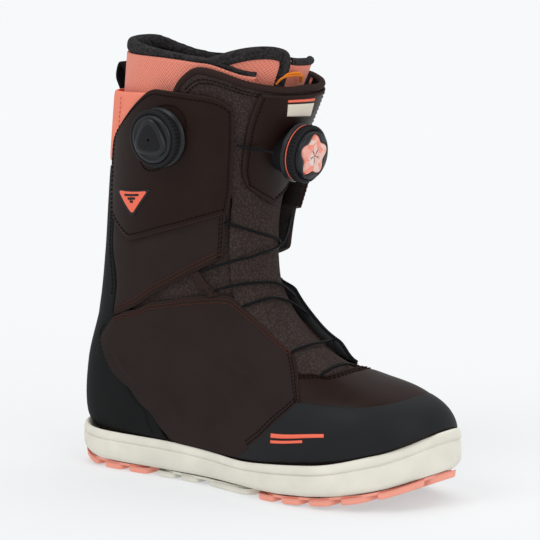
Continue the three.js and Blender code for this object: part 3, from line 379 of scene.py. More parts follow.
# Sections of the boot as [front x, front z, back x, back z, outer half width, inner half width, place of the
# widest point, roundness in front, roundness behind, shift towards the inner side].
SECTIONS = np.array(
    [
        [142, 38, 139, 32, 2, 2, 0.50, 2.0, 2.0, 8],
        [143, 53, 132, 26, 22, 22, 0.60, 2.1, 2.8, 7],
        [133.5, 68, 118, 20, 37, 35, 0.66, 2.2, 3.4, 5],
        [113, 78.5, 95, 14, 47, 42, 0.70, 2.3, 4.0, 2],
        [87, 84.5, 67, 11, 51, 46, 0.72, 2.3, 4.4, 0],
        [59, 91.5, 39, 10, 50, 44, 0.74, 2.2, 4.4, -1],
        [35, 103.5, 8, 10, 46, 41, 0.74, 2.2, 4.4, -1],
        [17, 121, -30, 10, 43, 40, 0.72, 2.2, 4.4, 0],
        [6, 140.5, -74, 10, 42, 41, 0.66, 2.2, 4.2, 0],
        [4, 161, -121, 11, 42, 42, 0.58, 2.2, 3.4, 0],
        [3, 179, -145, 28, 43, 43, 0.50, 2.2, 2.8, 0],
        [5, 196, -147, 65, 45, 44, 0.47, 2.2, 2.4, 0],
        [9, 212, -138, 103, 47, 46, 0.46, 2.2, 2.1, 0],
        [15, 228, -131, 143, 50, 49, 0.46, 2.2, 2.1, 0],
        [22, 243, -127, 183, 52, 51, 0.46, 2.2, 2.1, 0],
        [29, 257, -123, 225, 54, 53, 0.46, 2.2, 2.1, 0],
        [36, 271, -119, 265, 55, 54, 0.46, 2.2, 2.1, 0],
        [43, 285, -115, 305, 56, 55, 0.46, 2.2, 2.1, 0],
    ],
    dtype=float,
)
TOP = len(SECTIONS) - 1
ROWS = np.vstack([2 * SECTIONS[0] - SECTIONS[1], SECTIONS, 2 * SECTIONS[-1] - SECTIONS[-2]])


def section(s):
    """Smooth value of every column of the section table at stations s."""
    i = np.clip(np.floor(s).astype(int), 0, TOP - 1)
    f = (s - i)[..., None]
    a, b, c, d = ROWS[i], ROWS[i + 1], ROWS[i + 2], ROWS[np.minimum(i + 3, TOP + 2)]
    return 0.5 * (2 * b + (c - a) * f + (2 * a - 5 * b + 4 * c - d) * f**2 + (3 * b - a - 3 * c + d) * f**3)


def skin_point(s, t):
    """Points of the skin at stations s and angles t: 0 in front, 90 outside, 180 behind, 270 inside."""
    fx, fz, bx, bz, outer, inner, mid, front, behind, shift = np.moveaxis(section(s), -1, 0)
    c, n = np.cos(np.radians(t)), np.sin(np.radians(t))
    power = 2 / np.where(c >= 0, front, behind)
    reach = np.abs(c) ** power
    along = np.where(c >= 0, mid - mid * reach, mid + (1 - mid) * reach)
    side = shift + np.where(n >= 0, -outer, inner) * np.abs(n) ** power
    return np.stack([fx + (bx - fx) * along, side, fz + (bz - fz) * along], axis=-1)


def skin_normal(s, t):
    ahead = skin_point(s + 0.02, t) - skin_point(np.maximum(s - 0.02, 0.001), t)
    around = skin_point(s, t + 1) - skin_point(s, t - 1)
    normal = np.cross(ahead, around)
    return normal / np.linalg.norm(normal, axis=-1, keepdims=True)


def skin(s, t, h=0.0):
    """Points h millimetres above the skin."""
    s, t = np.broadcast_arrays(np.asarray(s, float), np.asarray(t, float))
    return skin_point(s, t) + skin_normal(s, t) * np.asarray(h, float)[..., None]


# ------------------------------------------------------------------ curves and patches on the skin

STATION_REACH = 12.0


def spline(points, closed=False, count=400):
    """Evenly spaced points of a Catmull-Rom curve through points."""
    p = np.asarray(points, float)
    n = len(p)
    pieces = n if closed else n - 1
    u = np.linspace(0, pieces, max(count, pieces * 12) * 3, endpoint=not closed)
    i = np.minimum(u.astype(int), pieces - 1)
    f = (u - i)[:, None]
    pick = (lambda k: p[k % n]) if closed else (lambda k: p[np.clip(k, 0, n - 1)])
    a, b, c, d = pick(i - 1), pick(i), pick(i + 1), pick(i + 2)
    q = 0.5 * (2 * b + (c - a) * f + (2 * a - 5 * b + 4 * c - d) * f**2 + (3 * b - a - 3 * c + d) * f**3)
    return resample(q, count, closed)


def resample(points, count, closed=False):
    p = np.vstack([points, points[:1]]) if closed else points
    length = np.concatenate([[0], np.cumsum(np.linalg.norm(np.diff(p, axis=0), axis=1))])
    at = np.linspace(0, length[-1], count, endpoint=not closed)
    return np.stack([np.interp(at, length, p[:, k]) for k in range(p.shape[1])], axis=1)


def through(points):
    """Curve u -> (station, angle) through points, even along its length."""
    p = np.asarray(points, float) * (STATION_REACH, 1)
    fine = spline(p, count=600) if len(p) > 2 else p
    at = np.linspace(0, 1, len(fine))

    def curve(u):
        u = np.clip(u, 0, 1)
        return np.stack([np.interp(u, at, fine[:, 0]) / STATION_REACH, np.interp(u, at, fine[:, 1])], axis=-1)

    return curve


def straight(points, soft=5.0):
    """Curve u -> (station, angle) along straight runs, with its corners softened over some millimetres."""
    p = np.asarray(points, float) * (STATION_REACH, 1)
    count = 600
    fine = resample(p, count)
    length = np.linalg.norm(np.diff(p, axis=0), axis=1).sum()
    n = max(1, int(count * soft / length / 2))
    padded = np.vstack([2 * fine[0] - fine[n:0:-1], fine, 2 * fine[-1] - fine[-2 : -n - 2 : -1]])
    box = np.ones(2 * n + 1) / (2 * n + 1)
    fine = np.stack([np.convolve(padded[:, k], box, "valid") for k in range(2)], axis=1)
    at = np.linspace(0, 1, count)
    return lambda u: np.stack(
        [np.interp(u, at, fine[:, 0]) / STATION_REACH, np.interp(u, at, fine[:, 1])], axis=-1)


def mirrored(curve):
    return lambda u: curve(u) * (1, -1) + (0, 360)


def across_front(half):
    """The same edge on the outer side, over the front and down the inner side."""

    def curve(u):
        u = np.asarray(u, float)
        place = half(np.where(u < 0.5, u * 2, 2 - u * 2))
        return place * np.stack([np.ones_like(u), np.where(u < 0.5, 1, -1)], axis=-1)

    return curve


def across_back(half):
    def curve(u):
        u = np.asarray(u, float)
        place = half(np.where(u < 0.5, u * 2, 2 - u * 2))
        flip = (u >= 0.5)[..., None]
        return np.where(flip, place * (1, -1) + (0, 360), place)

    return curve


def patch(top, bottom, left=None, right=None):
    """Coons patch of four edges in (station, angle)."""

    def where(u, v):
        u, v = np.broadcast_arrays(np.asarray(u, float), np.asarray(v, float))
        ends = [top(np.zeros(1))[0], top(np.ones(1))[0], bottom(np.zeros(1))[0], bottom(np.ones(1))[0]]
        uu, vv = u[..., None], v[..., None]
        l = left(v) if left else ends[0] + (ends[2] - ends[0]) * vv
        r = right(v) if right else ends[1] + (ends[3] - ends[1]) * vv
        across = top(u) * (1 - vv) + bottom(u) * vv
        down = l * (1 - uu) + r * uu
        corners = (ends[0] * (1 - uu) + ends[1] * uu) * (1 - vv) + (ends[2] * (1 - uu) + ends[3] * uu) * vv
        return across + down - corners

    return where


LOWER_EDGE = np.array(
    [[-170, 111], [-92, 111], [-60, 120], [-37, 126.5], [-16, 130], [-4, 134], [9, 146], [40, 172]], float)
SHAFT_EDGE = np.array(
    [[-170, 113.5], [-92, 114.5], [-77, 118], [-47, 135], [-31, 143], [-11, 156], [4, 166], [40, 186]], float
)
RIM = np.array([[-146, 31], [-120, 27], [-50, 26.5], [15, 23], [88, 30.5], [129, 42], [147, 55]], float)
UNDERSIDE = np.array([[-146, 17], [-124, 6], [45, 6], [86, 8.5], [110, 12.5], [130, 18], [147, 28]], float)
PANEL_OUT = -0.4


def station_on(line, t, lift=0.0):
    """Stations where the skin at angles t crosses a side-view line."""
    t = np.asarray(t, float)
    lo, hi = np.full(t.shape, 4.0), np.full(t.shape, float(TOP))
    for _ in range(30):
        mid = (lo + hi) / 2
        p = skin_point(mid, t)
        below = p[..., 2] < np.interp(p[..., 0], line[:, 0], line[:, 1]) + lift
        lo, hi = np.where(below, mid, lo), np.where(below, hi, mid)
    return (lo + hi) / 2


def sole_height(line, x):
    """Height of a side-view line of the sole, with its corners rounded."""
    steps = np.array([-10, -5, 0, 5, 10])
    return np.interp(np.asarray(x)[..., None] + steps, line[:, 0], line[:, 1]).mean(axis=-1)


def rim_angle(s, lift=0.8):
    """Angle where the skin at station s goes into the rim of the sole, on the outer side."""
    lo, hi = np.zeros(np.shape(s)), np.full(np.shape(s), 180.0)
    for _ in range(26):
        mid = (lo + hi) / 2
        p = skin(s, mid, PANEL_OUT)
        above = p[..., 2] > sole_height(RIM, p[..., 0]) + lift
        lo, hi = np.where(above, mid, lo), np.where(above, hi, mid)
    return lo


def rim_station(t, lo, hi, lift=0.8):
    for _ in range(26):
        mid = (lo + hi) / 2
        p = skin(np.array([mid]), np.array([t]), PANEL_OUT)[0]
        above = p[2] > sole_height(RIM, p[0]) + lift
        lo, hi = (lo, mid) if above else (mid, hi)
    return hi


TOE_STATION = rim_station(0.0, 0.6, 3.0)
HEEL_STATION = rim_station(180.0, 9.0, 11.0)


def on_rim(start, stop, lift=0.8):
    """Edge along the rim, closer spaced where it turns around the toe or the heel."""
    stations = stop + (start - stop) * (1 - np.linspace(0, 1, 15)) ** 2
    return through(np.stack([stations, rim_angle(stations, lift)], axis=1))

# ------------------------------------------------------------------ mesh builders


def signed_volume(points, faces):
    total = 0.0
    for size in {len(f) for f in faces}:
        ring = np.array([f for f in faces if len(f) == size])
        first = points[ring[:, 0]]
        for k in range(1, size - 1):
            total += np.einsum("ij,ij->i", first, np.cross(points[ring[:, k]], points[ring[:, k + 1]])).sum()
    return total


def piece(name, points, faces, body, look, slot=None, nodes=(), uv=None, blend=None):
    """Finished piece from points in millimetres: it rides on a body, or, given a bend, stays in place unattached with
    its transform baked in.
    """
    points = np.asarray(points, float).reshape(-1, 3)
    if signed_volume(points, faces) < 0:
        faces = [tuple(reversed(f)) for f in faces]
    mesh = bpy.data.meshes.new(name)
    mesh.from_pydata((points * MM).tolist(), [], [tuple(int(i) for i in f) for f in faces])
    mesh.polygons.foreach_set("use_smooth", np.ones(len(mesh.polygons), bool))
    if uv is not None:
        layer = mesh.uv_layers.new(name="pattern")
        corner = np.empty(len(mesh.loops), int)
        mesh.loops.foreach_get("vertex_index", corner)
        layer.data.foreach_set("uv", np.asarray(uv, np.float32)[corner].ravel())
    obj = bpy.data.objects.new(name, mesh)
    bpy.context.scene.collection.objects.link(obj)
    mesh.materials.append(LOOKS[look])
    finish_piece(obj, body, slot or look, nodes, blend)
    return obj


def finish_piece(obj, body, slot, nodes=(), blend=None):
    if blend:
        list(blend)
        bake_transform(obj)
    else:
        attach(obj, body)
    if nodes:
        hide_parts(*nodes)


def grid_faces(rows, columns, start=0, around=False):
    """Quads of a grid of points, which may close on itself across its columns."""
    i = np.arange(rows - 1)[:, None]
    j = np.arange(columns if around else columns - 1)[None, :]
    k = (j + 1) % columns
    quads = np.stack([start + i * columns + j, start + (i + 1) * columns + j,
                      start + (i + 1) * columns + k, start + i * columns + k], axis=-1)
    return [tuple(q) for q in quads.reshape(-1, 4)]


def edge_steps(length, cell, reach):
    """Places 0 to 1 along a side: close rows for its rounded ends, even cells between."""
    lead = np.array([0.0, 0.1, 0.4, 1.0]) * reach
    lead = lead[lead < length / 3]
    middle = np.linspace(lead[-1], length - lead[-1], max(2, int(round((length - 2 * lead[-1]) / cell))) + 1)
    return np.concatenate([lead[:-1], middle, (length - lead[:-1])[::-1]]) / length


def rounding(distance, reach):
    """How far a face drops near its edge."""
    near = np.clip(distance / reach, 0, 1)
    return reach * (1 - np.sqrt(1 - (1 - near) ** 2))


class Panel:
    """Sheet of the upper inside four edges on the skin, with rounded edges and a wall."""

    def __init__(self, outer=PANEL_OUT, wall=2.2, **edges):
        self.where = patch(**edges)
        self.outer = outer
        self.wall = wall
        self.coarse = np.linspace(0, 1, 33)
        u, v = np.meshgrid(self.coarse, self.coarse, indexing="ij")
        points = self.at(u, v)
        self.across = np.linalg.norm(np.diff(points, axis=0), axis=-1).sum(axis=0)
        self.down = np.linalg.norm(np.diff(points, axis=1), axis=-1).sum(axis=1)

    def at(self, u, v, lift=0.0):
        place = self.where(u, v)
        return skin(place[..., 0], place[..., 1], self.outer + lift)

    def row(self, side, inset, lo=0.0, hi=1.0, count=220):
        """(stations, angles) of a line that runs along one side, inset millimetres inside it."""
        run = np.linspace(lo, hi, count)
        if side in ("top", "bottom"):
            off = inset / np.interp(run, self.coarse, self.down)
            place = self.where(run, off if side == "top" else 1 - off)
        else:
            off = inset / np.interp(run, self.coarse, self.across)
            place = self.where(off if side == "left" else 1 - off, run)
        return place[..., 0], place[..., 1]

    def mesh(self, name, body, look, cell=2.5, reach=1.0, relief=None, **more):
        u = edge_steps(self.across.max(), cell, reach)
        v = edge_steps(self.down.max(), cell, reach)
        u, v = np.meshgrid(u, v, indexing="ij")
        place = self.where(u, v)
        s, t = place[..., 0], place[..., 1]
        beside = np.minimum(u, 1 - u) * np.interp(v, self.coarse, self.across)
        above = np.minimum(v, 1 - v) * np.interp(u, self.coarse, self.down)
        near = np.minimum(beside, above)
        height = self.outer - rounding(near, reach)
        if relief is not None:
            height = height + relief(s, t, near)
        outside = skin(s, t, height)
        inside = skin(s, t, self.outer - self.wall)
        rows, columns = u.shape
        count = rows * columns
        faces = grid_faces(rows, columns) + [f[::-1] for f in grid_faces(rows, columns, count)]
        index = np.arange(count).reshape(rows, columns)
        ring = np.concatenate([index[0, :-1], index[:-1, -1], index[-1, :0:-1], index[:0:-1, 0]])
        following = np.roll(ring, -1)
        faces += [(a, b, b + count, a + count) for a, b in zip(ring, following)]
        along, down = (np.linalg.norm(np.diff(outside, axis=axis), axis=-1) for axis in (0, 1))
        x = np.concatenate([np.zeros((1, columns)), np.cumsum(along, axis=0)])
        y = np.concatenate([np.zeros((rows, 1)), np.cumsum(down, axis=1)], axis=1)
        uv = np.stack([x, y], axis=-1).reshape(-1, 2) * MM
        points = np.concatenate([outside.reshape(-1, 3), inside.reshape(-1, 3)])
        return piece(name, points, faces, body, look, uv=np.concatenate([uv, uv]), **more)


def frames_along(points, normals=None):
    """Tangents and two cross directions at every point of a path."""
    tangent = np.gradient(points, axis=0)
    tangent /= np.linalg.norm(tangent, axis=1, keepdims=True)
    if normals is None:
        normals = np.empty_like(points)
        last = np.cross(tangent[0], (0.3, 0.5, 0.81))
        for i, axis in enumerate(tangent):
            last = last - axis * np.dot(last, axis)
            last /= np.linalg.norm(last)
            normals[i] = last
    side = np.cross(tangent, normals)
    side /= np.linalg.norm(side, axis=1, keepdims=True)
    return tangent, side, np.cross(side, tangent)


def swept(points, shape, normals=None):
    """Closed outline shape [(across, out)] swept along a path. Returns points, faces and uv."""
    shape = np.asarray(shape, float)
    tangent, side, out = frames_along(points, normals)
    ring = points[:, None] + side[:, None] * shape[None, :, :1] + out[:, None] * shape[None, :, 1:]
    rows, columns = ring.shape[:2]
    length = np.concatenate([[0], np.cumsum(np.linalg.norm(np.diff(points, axis=0), axis=1))])
    girth = np.concatenate([[0], np.cumsum(np.linalg.norm(np.diff(shape, axis=0), axis=1))])
    uv = np.stack(np.broadcast_arrays(length[:, None], girth[None]), axis=-1).reshape(-1, 2) * MM
    faces = grid_faces(rows, columns, around=True)
    bulge = np.abs(shape).max() * 0.5
    flat = np.vstack([ring.reshape(-1, 3), points[0] - tangent[0] * bulge, points[-1] + tangent[-1] * bulge])
    uv = np.vstack([uv, uv[:1], uv[-1:]])
    a, b, last = rows * columns, rows * columns + 1, (rows - 1) * columns
    faces += [((j + 1) % columns, j, a) for j in range(columns)]
    faces += [(last + j, last + (j + 1) % columns, b) for j in range(columns)]
    return flat, faces, uv


def circle(radius, sides=10, flat=1.0):
    a = np.arange(sides) * 2 * math.pi / sides
    return np.stack([np.cos(a) * radius, np.sin(a) * radius * flat], axis=1)


def rounded_strip(width, thickness, sides=5):
    """Outline of a strap: a flat oval."""
    a = np.linspace(-math.pi / 2, math.pi / 2, sides)
    r = thickness / 2
    right = np.stack([width / 2 - r + np.cos(a) * r, np.sin(a) * r], axis=1)
    return np.vstack([right, -right])


def joined(parts):
    """One mesh from several (points, faces, uv)."""
    points, faces, uvs, start = [], [], [], 0
    for p, f, uv in parts:
        points.append(p)
        uvs.append(uv)
        faces += [tuple(i + start for i in face) for face in f]
        start += len(p)
    return np.vstack(points), faces, np.vstack(uvs)


def on_skin(s, t, lift, count):
    """Evenly spaced points along a line on the skin, with the skin's normals."""
    fine = resample(np.stack([s * STATION_REACH, t, np.broadcast_to(lift, s.shape)], axis=1), len(s))
    places = skin(fine[:, 0] / STATION_REACH, fine[:, 1], fine[:, 2])
    length = np.concatenate([[0], np.cumsum(np.linalg.norm(np.diff(places, axis=0), axis=1))])
    at = np.linspace(0, length[-1], count)
    s, t = np.interp(at, length, fine[:, 0]) / STATION_REACH, np.interp(at, length, fine[:, 1])
    h = np.interp(at, length, fine[:, 2])
    return skin(s, t, h), skin_normal(s, t)


def line_length(s, t, lift=0.0):
    return np.linalg.norm(np.diff(skin(s, t, lift), axis=0), axis=1).sum()


def piping(name, line, body, look, radius=1.1, lift=0.0, flat=1.0, **more):
    """Round cord or binding sewn along a line on the skin."""
    s, t = line
    count = max(8, int(line_length(s, t) / 1.6))
    points, normals = on_skin(s, t, lift, count)
    flat_points, faces, uv = swept(points, circle(radius, 10, flat), normals)
    return piece(name, flat_points, faces, body, look, uv=uv, **more)


threads = {}


def stitch(line, body, look, lift, gap=3.0, length=2.1, radius=0.34):
    """Row of stitches along a line on the skin. All rows of one body and thread become one piece later."""
    s, t = line
    count = max(2, int(line_length(s, t) / gap))
    points, normals = on_skin(s, t, lift, count * 4 + 1)
    tangent, _, out = frames_along(points, normals)
    arch = [(-0.5, -0.5), (-0.36, 0.1), (0.0, 0.42), (0.36, 0.1), (0.5, -0.5)]
    parts = threads.setdefault((body, look), [])
    for i in range(2, count * 4, 4):
        spine = np.array([points[i] + tangent[i] * a * length + out[i] * b * radius * 1.6 for a, b in arch])
        parts.append(swept(spine, circle(radius, 5), np.repeat(out[i][None], len(arch), axis=0)))


def sew_all():
    for (body, look), parts in threads.items():
        points, faces, uv = joined(parts)
        piece(f"stitching_{body}_{look}", points, faces, body, look, uv=uv)


def ridge(path, width, height):
    """Relief that raises the skin along a path of (station, angle)."""
    line = through(path)(np.linspace(0, 1, 70))
    spine = skin(line[:, 0], line[:, 1])

    def relief(s, t, near):
        points = skin_point(s, t)
        gap = np.full(s.shape, 1e9)
        for p in spine:
            gap = np.minimum(gap, np.sum((points - p) ** 2, axis=-1))
        return height * np.exp(-gap / (width / 2) ** 2)

    return relief


def sum_of(*reliefs):
    return lambda s, t, near: sum(r(s, t, near) for r in reliefs)


def puff(height, reach):
    """Relief of a backed panel: it swells softly inside its sewn edge."""
    return lambda s, t, near: height * (1 - np.exp(-((near / reach) ** 2)))


def sock(name, body, look, stations, mouth, outer, wall, rows=70, columns=120, **more):
    """Sock-shaped skin with a wall, closed at the toe and open around its mouth."""
    t = np.arange(columns) * 360 / columns
    rim = mouth(t)
    f = np.linspace(0, 1, rows)[:, None]
    s = stations + (rim[None] - stations) * f
    out = skin(s, np.broadcast_to(t, s.shape), outer(s, t[None]))
    inside = skin(s, np.broadcast_to(t, s.shape), outer(s, t[None]) - wall)
    rings = np.concatenate([out, inside[::-1]])
    points = rings.reshape(-1, 3)
    caps = np.array([out[0].mean(axis=0), inside[0].mean(axis=0)])
    faces = grid_faces(2 * rows, columns, around=True)
    last = (2 * rows - 1) * columns
    n = len(points)
    faces += [((j + 1) % columns, j, n) for j in range(columns)]
    faces += [(last + j, last + (j + 1) % columns, n + 1) for j in range(columns)]
    girth = np.linalg.norm(np.diff(out, axis=1, append=out[:, :1]), axis=-1).mean()
    length = np.linalg.norm(np.diff(out, axis=0), axis=-1).mean()
    row = np.concatenate([np.arange(rows), np.arange(rows)[::-1]])
    plane = np.broadcast_arrays(np.arange(columns)[None] * girth, row[:, None] * length)
    uv = np.stack(plane, axis=-1).reshape(-1, 2)
    uv = np.vstack([uv, uv[:1], uv[:1]]) * MM
    return piece(name, np.vstack([points, caps]), faces, body, look, uv=uv, **more)

# ------------------------------------------------------------------ joints of the ankle and the tongue

# Two bodies and two points for the ankle, which bends between two parallel planes, and for the tongue, which bends
# just above its root. A piece given one of these is only baked in place, not bent.
ANKLE_BEND = ("lower", "shaft", (-0.0896, 0.0, 0.1085), (-0.0944, 0.0, 0.1195))
TONGUE_BEND = ("shaft", "tongue", (0.004, 0.0, 0.163), (-0.001, 0.0, 0.178))

# ------------------------------------------------------------------ sole

SOLE_OUTLINE = [
    (-145, 0), (-141, 21), (-127.5, 36), (-100, 40), (-60, 39), (-20, 38), (20, 41), (50, 47), (80, 52), (105, 50),
    (125, 43), (140, 29), (147, 8), (140, -9), (125, -31), (105, -46), (80, -55), (50, -56), (20, -51), (-20, -43),
    (-60, -41), (-100, -41), (-128.5, -37.5), (-142, -22),
]
SOLE_HALF_WIDTH = 54.0
SOLE_HALF_LENGTH = 144.0
SOLE_PLAN = spline(SOLE_OUTLINE, closed=True, count=420)


def sole_ring(inset, line, lift):
    x = SOLE_PLAN[:, 0] * (1 - inset / SOLE_HALF_LENGTH)
    y = SOLE_PLAN[:, 1] * (1 - inset / SOLE_HALF_WIDTH)
    return np.stack([x, y, sole_height(line, x) + lift], axis=1)


def between_rings(share, inset, lift=0.0):
    """Ring part of the way up the wall of the midsole."""
    low, high = sole_ring(inset, UNDERSIDE, 4.0), sole_ring(inset, RIM, -2.0)
    ring = low + (high - low) * share
    ring[:, 2] += lift
    return ring


def build_midsole():
    """Foam midsole: bevelled foot, wall with a shallow groove under a raised rim, and a seat for the upper."""
    rings = [
        sole_ring(14.0, UNDERSIDE, 0.0), sole_ring(6.0, UNDERSIDE, 0.0), sole_ring(4.0, UNDERSIDE, 0.15),
        sole_ring(2.6, UNDERSIDE, 0.9), sole_ring(1.2, UNDERSIDE, 2.1), sole_ring(0.4, UNDERSIDE, 3.2),
        between_rings(0.0, 0.0), between_rings(0.35, -0.1), between_rings(0.60, 0.1),
        between_rings(0.68, 0.25), between_rings(0.695, 0.75), between_rings(0.715, 0.95), between_rings(0.735, 0.75),
        between_rings(0.75, 0.15), between_rings(0.80, -0.1), between_rings(0.92, 0.1), between_rings(1.0, 0.45),
        sole_ring(0.9, RIM, -0.9), sole_ring(1.5, RIM, -0.3), sole_ring(2.2, RIM, 0.0), sole_ring(3.0, RIM, -0.2),
        sole_ring(4.2, RIM, -1.4), sole_ring(9.0, RIM, -9.0),
    ]
    columns = len(SOLE_PLAN)
    points = np.concatenate(rings)
    faces = grid_faces(len(rings), columns, around=True)
    faces += [tuple(range(columns))[::-1], tuple(range((len(rings) - 1) * columns, len(rings) * columns))]
    around = np.arange(columns) * 2.2
    up = np.arange(len(rings)) * 2.0
    uv = np.stack(np.broadcast_arrays(around[None], up[:, None]), axis=-1).reshape(-1, 2) * MM
    piece("midsole_foam", points, faces, "lower", "cream_foam", nodes=["midsole"], uv=uv)


LUG_DEPTH = 6.0
LUG_INSET = 3.0
LUG_SPLIT = 4.0
POD_TOP = 0.4
POD_WALL = 2.0
HEEL_LUGS = [(-138, -119), (-114, -97), (-92, -74)]
ARCH_LUGS = [(-66, -50), (-45, -29), (-24, 24)]
TOE_LUGS = [(30, 46), (51, 68), (73, 90), (95, 111), (116, 134)]


def half_width(x, side):
    """Reach of the tread from the middle line at x."""
    one = SOLE_PLAN[np.sign(SOLE_PLAN[:, 1]) == side]
    order = np.argsort(one[:, 0])
    return np.abs(np.interp(x, one[order, 0], one[order, 1])) - LUG_INSET


def lug(x0, x1, lo_of, hi_of, top, depth, taper):
    """Tread block with rounded corners and a bevelled foot, between two lines across the sole."""
    a = np.linspace(0, 2 * math.pi, 48, endpoint=False)
    square = lambda w: np.sign(w) * np.abs(w) ** 0.32
    layers = [(0.0, 1.0), (0.55, 1.0), (0.86, 0.97), (0.96, 0.9), (1.0, 0.78)]
    points = []
    for share, size in layers:
        reach_x = (x1 - x0) / 2 + taper * (1 - share) - (1 - size) * 5
        x = (x0 + x1) / 2 + square(np.cos(a)) * reach_x
        lo, hi = lo_of(x), hi_of(x)
        reach_y = (hi - lo) / 2 + taper * (1 - share) - (1 - size) * 5
        y = (lo + hi) / 2 + square(np.sin(a)) * reach_y
        points.append(np.stack([x, y, sole_height(UNDERSIDE, x) - top - (depth - top) * share], axis=1))
    points = np.concatenate(points)
    n = len(a)
    faces = grid_faces(len(layers), n, around=True)
    faces += [tuple(range(n))[::-1], tuple(range(len(points) - n, len(points)))]
    if signed_volume(points, faces) < 0:
        faces = [f[::-1] for f in faces]
    return points, faces, points[:, :2] * MM


def build_tread():
    """Rubber pods under the heel and the front of the foot, and foam blocks under the arch."""
    pods = [("heel_tread", HEEL_LUGS, "coral_rubber"), ("arch_tread", ARCH_LUGS, "cream_foam"),
            ("toe_tread", TOE_LUGS, "coral_rubber")]
    left, right = (lambda x: -half_width(x, -1)), (lambda x: half_width(x, 1))
    for name, lugs, look in pods:
        parts = [lug(lugs[0][0], lugs[-1][1], left, right, POD_TOP, POD_TOP + POD_WALL, 0.0)]
        for x0, x1 in lugs:
            if name == "arch_tread" and x1 - x0 > 40:
                parts.append(lug(x0, x1, left, right, POD_TOP + 1, LUG_DEPTH, 0.4))
                continue
            parts.append(lug(x0, x1, left, lambda x: np.full(np.shape(x), -LUG_SPLIT), POD_TOP + 1, LUG_DEPTH, 0.4))
            parts.append(lug(x0, x1, lambda x: np.full(np.shape(x), LUG_SPLIT), right, POD_TOP + 1, LUG_DEPTH, 0.4))
        points, faces, uv = joined(parts)
        piece(f"{name}_rubber", points, faces, "lower", look, nodes=[name], uv=uv)


# ------------------------------------------------------------------ lower boot

SLEEVE_OUT = -3.7
LINER_OUT = -6.7


def smooth(x, lo, hi):
    f = np.clip((x - lo) / (hi - lo), 0, 1)
    return f * f * (3 - 2 * f)


def lower_mouth(t):
    return station_on(LOWER_EDGE, t)


def shaft_mouth(t, lift=0.0):
    return station_on(SHAFT_EDGE, t, lift)


def over_board(s, t):
    return -2.9 * (1 - smooth(np.abs(t - 180), 30, 44)) * (1 - smooth(s, 9.1, 9.9))


def wrap(t0, t1, low, high):
    """Edges of a band around the boot from angle t0 to angle t1, between two lines."""
    at = lambda u: t0 + (t1 - t0) * np.asarray(u, float)
    return dict(
        bottom=lambda u: np.stack([low(at(u)) + 0 * at(u), at(u)], axis=-1),
        top=lambda u: np.stack([high(at(u)) + 0 * at(u), at(u)], axis=-1),
    )


def build_inner_layers():
    """Knitted sleeve and fleece liner of the foot, and the cloth that bridges the ankle."""
    sock("lower_sleeve_cloth", "lower", "mesh_textile", 0.02, lower_mouth,
         lambda s, t: SLEEVE_OUT * smooth(s, 0, 0.9), 2.0, nodes=["lower_sleeve"])
    sock("liner_foot_fleece", "lower", "fleece", 1.0, lower_mouth,
         lambda s, t: LINER_OUT + over_board(s, t), 5.0, rows=50, columns=90, nodes=["liner_foot"])
    low, high = (lambda t: station_on(LOWER_EDGE, t, -4.0)), (lambda t: shaft_mouth(t, 4.0))
    Panel(outer=SLEEVE_OUT + 0.25, wall=1.8, **wrap(-98, 98, low, high)).mesh(
        "ankle_cloth", None, "mesh_textile", cell=2.2, reach=0.3, nodes=["ankle_gusset"], blend=ANKLE_BEND)
    Panel(outer=LINER_OUT + 0.3, wall=4.6, **wrap(-98, 98, low, high)).mesh(
        "liner_gusset_fleece", None, "fleece", cell=3.0, reach=0.3, nodes=["liner_gusset"], blend=ANKLE_BEND)


QUARTER_TOP = [(11.12, 111.4), (10.94, 101.7), (10.48, 87.8), (9.57, 64.3), (8.74, 46.4), (8.32, 38.5), (7.42, 31),
               (6.7, 26), (6.03, 22.5), (5.72, 23)]
QUARTER_BACK = [(11.12, 111.4), (11.0, 124), (10.24, 112), (9.7, 104), (9.16, 97), (8.36, 95.6)]


def quarter_edges():
    heel = (7.6, float(rim_angle(np.array([7.6]))[0]))
    foot = [(s, float(rim_angle(np.array([s]))[0])) for s in (7.0, 6.5, 6.15)]
    return dict(
        top=straight(QUARTER_TOP),
        right=straight([(5.72, 23), (5.25, 35.4), (4.8, 53.2)]),
        bottom=straight([heel, *foot, (5.46, 83), (4.97, 63.7), (4.8, 53.2)]),
        left=straight([*QUARTER_BACK, heel]),
    )


def both_sides(edges):
    """The same panel on the outer and the inner side of the foot."""
    return [("outer", edges), ("inner", {key: mirrored(curve) for key, curve in edges.items()})]


def flip(path, side):
    return path if side == "outer" else [(s, 360 - t) for s, t in path]


def build_quarters():
    for side, edges in both_sides(quarter_edges()):
        panel = Panel(**edges)
        relief = sum_of(
            puff(0.35, 5.0),
            ridge(flip([(8.88, 68.4), (7.7, 61.8), (6.47, 58.8)], side), 3.2, 1.1),
            ridge(flip([(6.47, 58.8), (6.6, 64.5), (6.91, 71.7)], side), 3.4, 0.8),
            ridge(flip([(10.0, 102), (8.78, 90.7), (7.7, 90.5)], side), 4.0, 0.9),
            ridge(flip([(9.3, 72), (8.0, 67), (6.9, 65)], side), 11.0, -0.7),
        )
        panel.mesh(f"quarter_{side}_skin", "lower", "matte_shell", cell=2.0, relief=relief, nodes=[f"quarter_{side}"])
        for inset in (2.6, 5.0):
            stitch(panel.row("top", inset, 0.02, 0.985), "lower", "rust_thread", PANEL_OUT + 0.35)
            stitch(panel.row("right", inset, 0.04, 0.97), "lower", "brown_thread", PANEL_OUT + 0.3)
            stitch(panel.row("bottom", inset, 0.42, 0.97), "lower", "brown_thread", PANEL_OUT + 0.3)
        piping(f"quarter_{side}_front_edge", panel.row("right", 0.25), "lower", "brown_cloth", radius=0.5,
               lift=PANEL_OUT - 0.05)


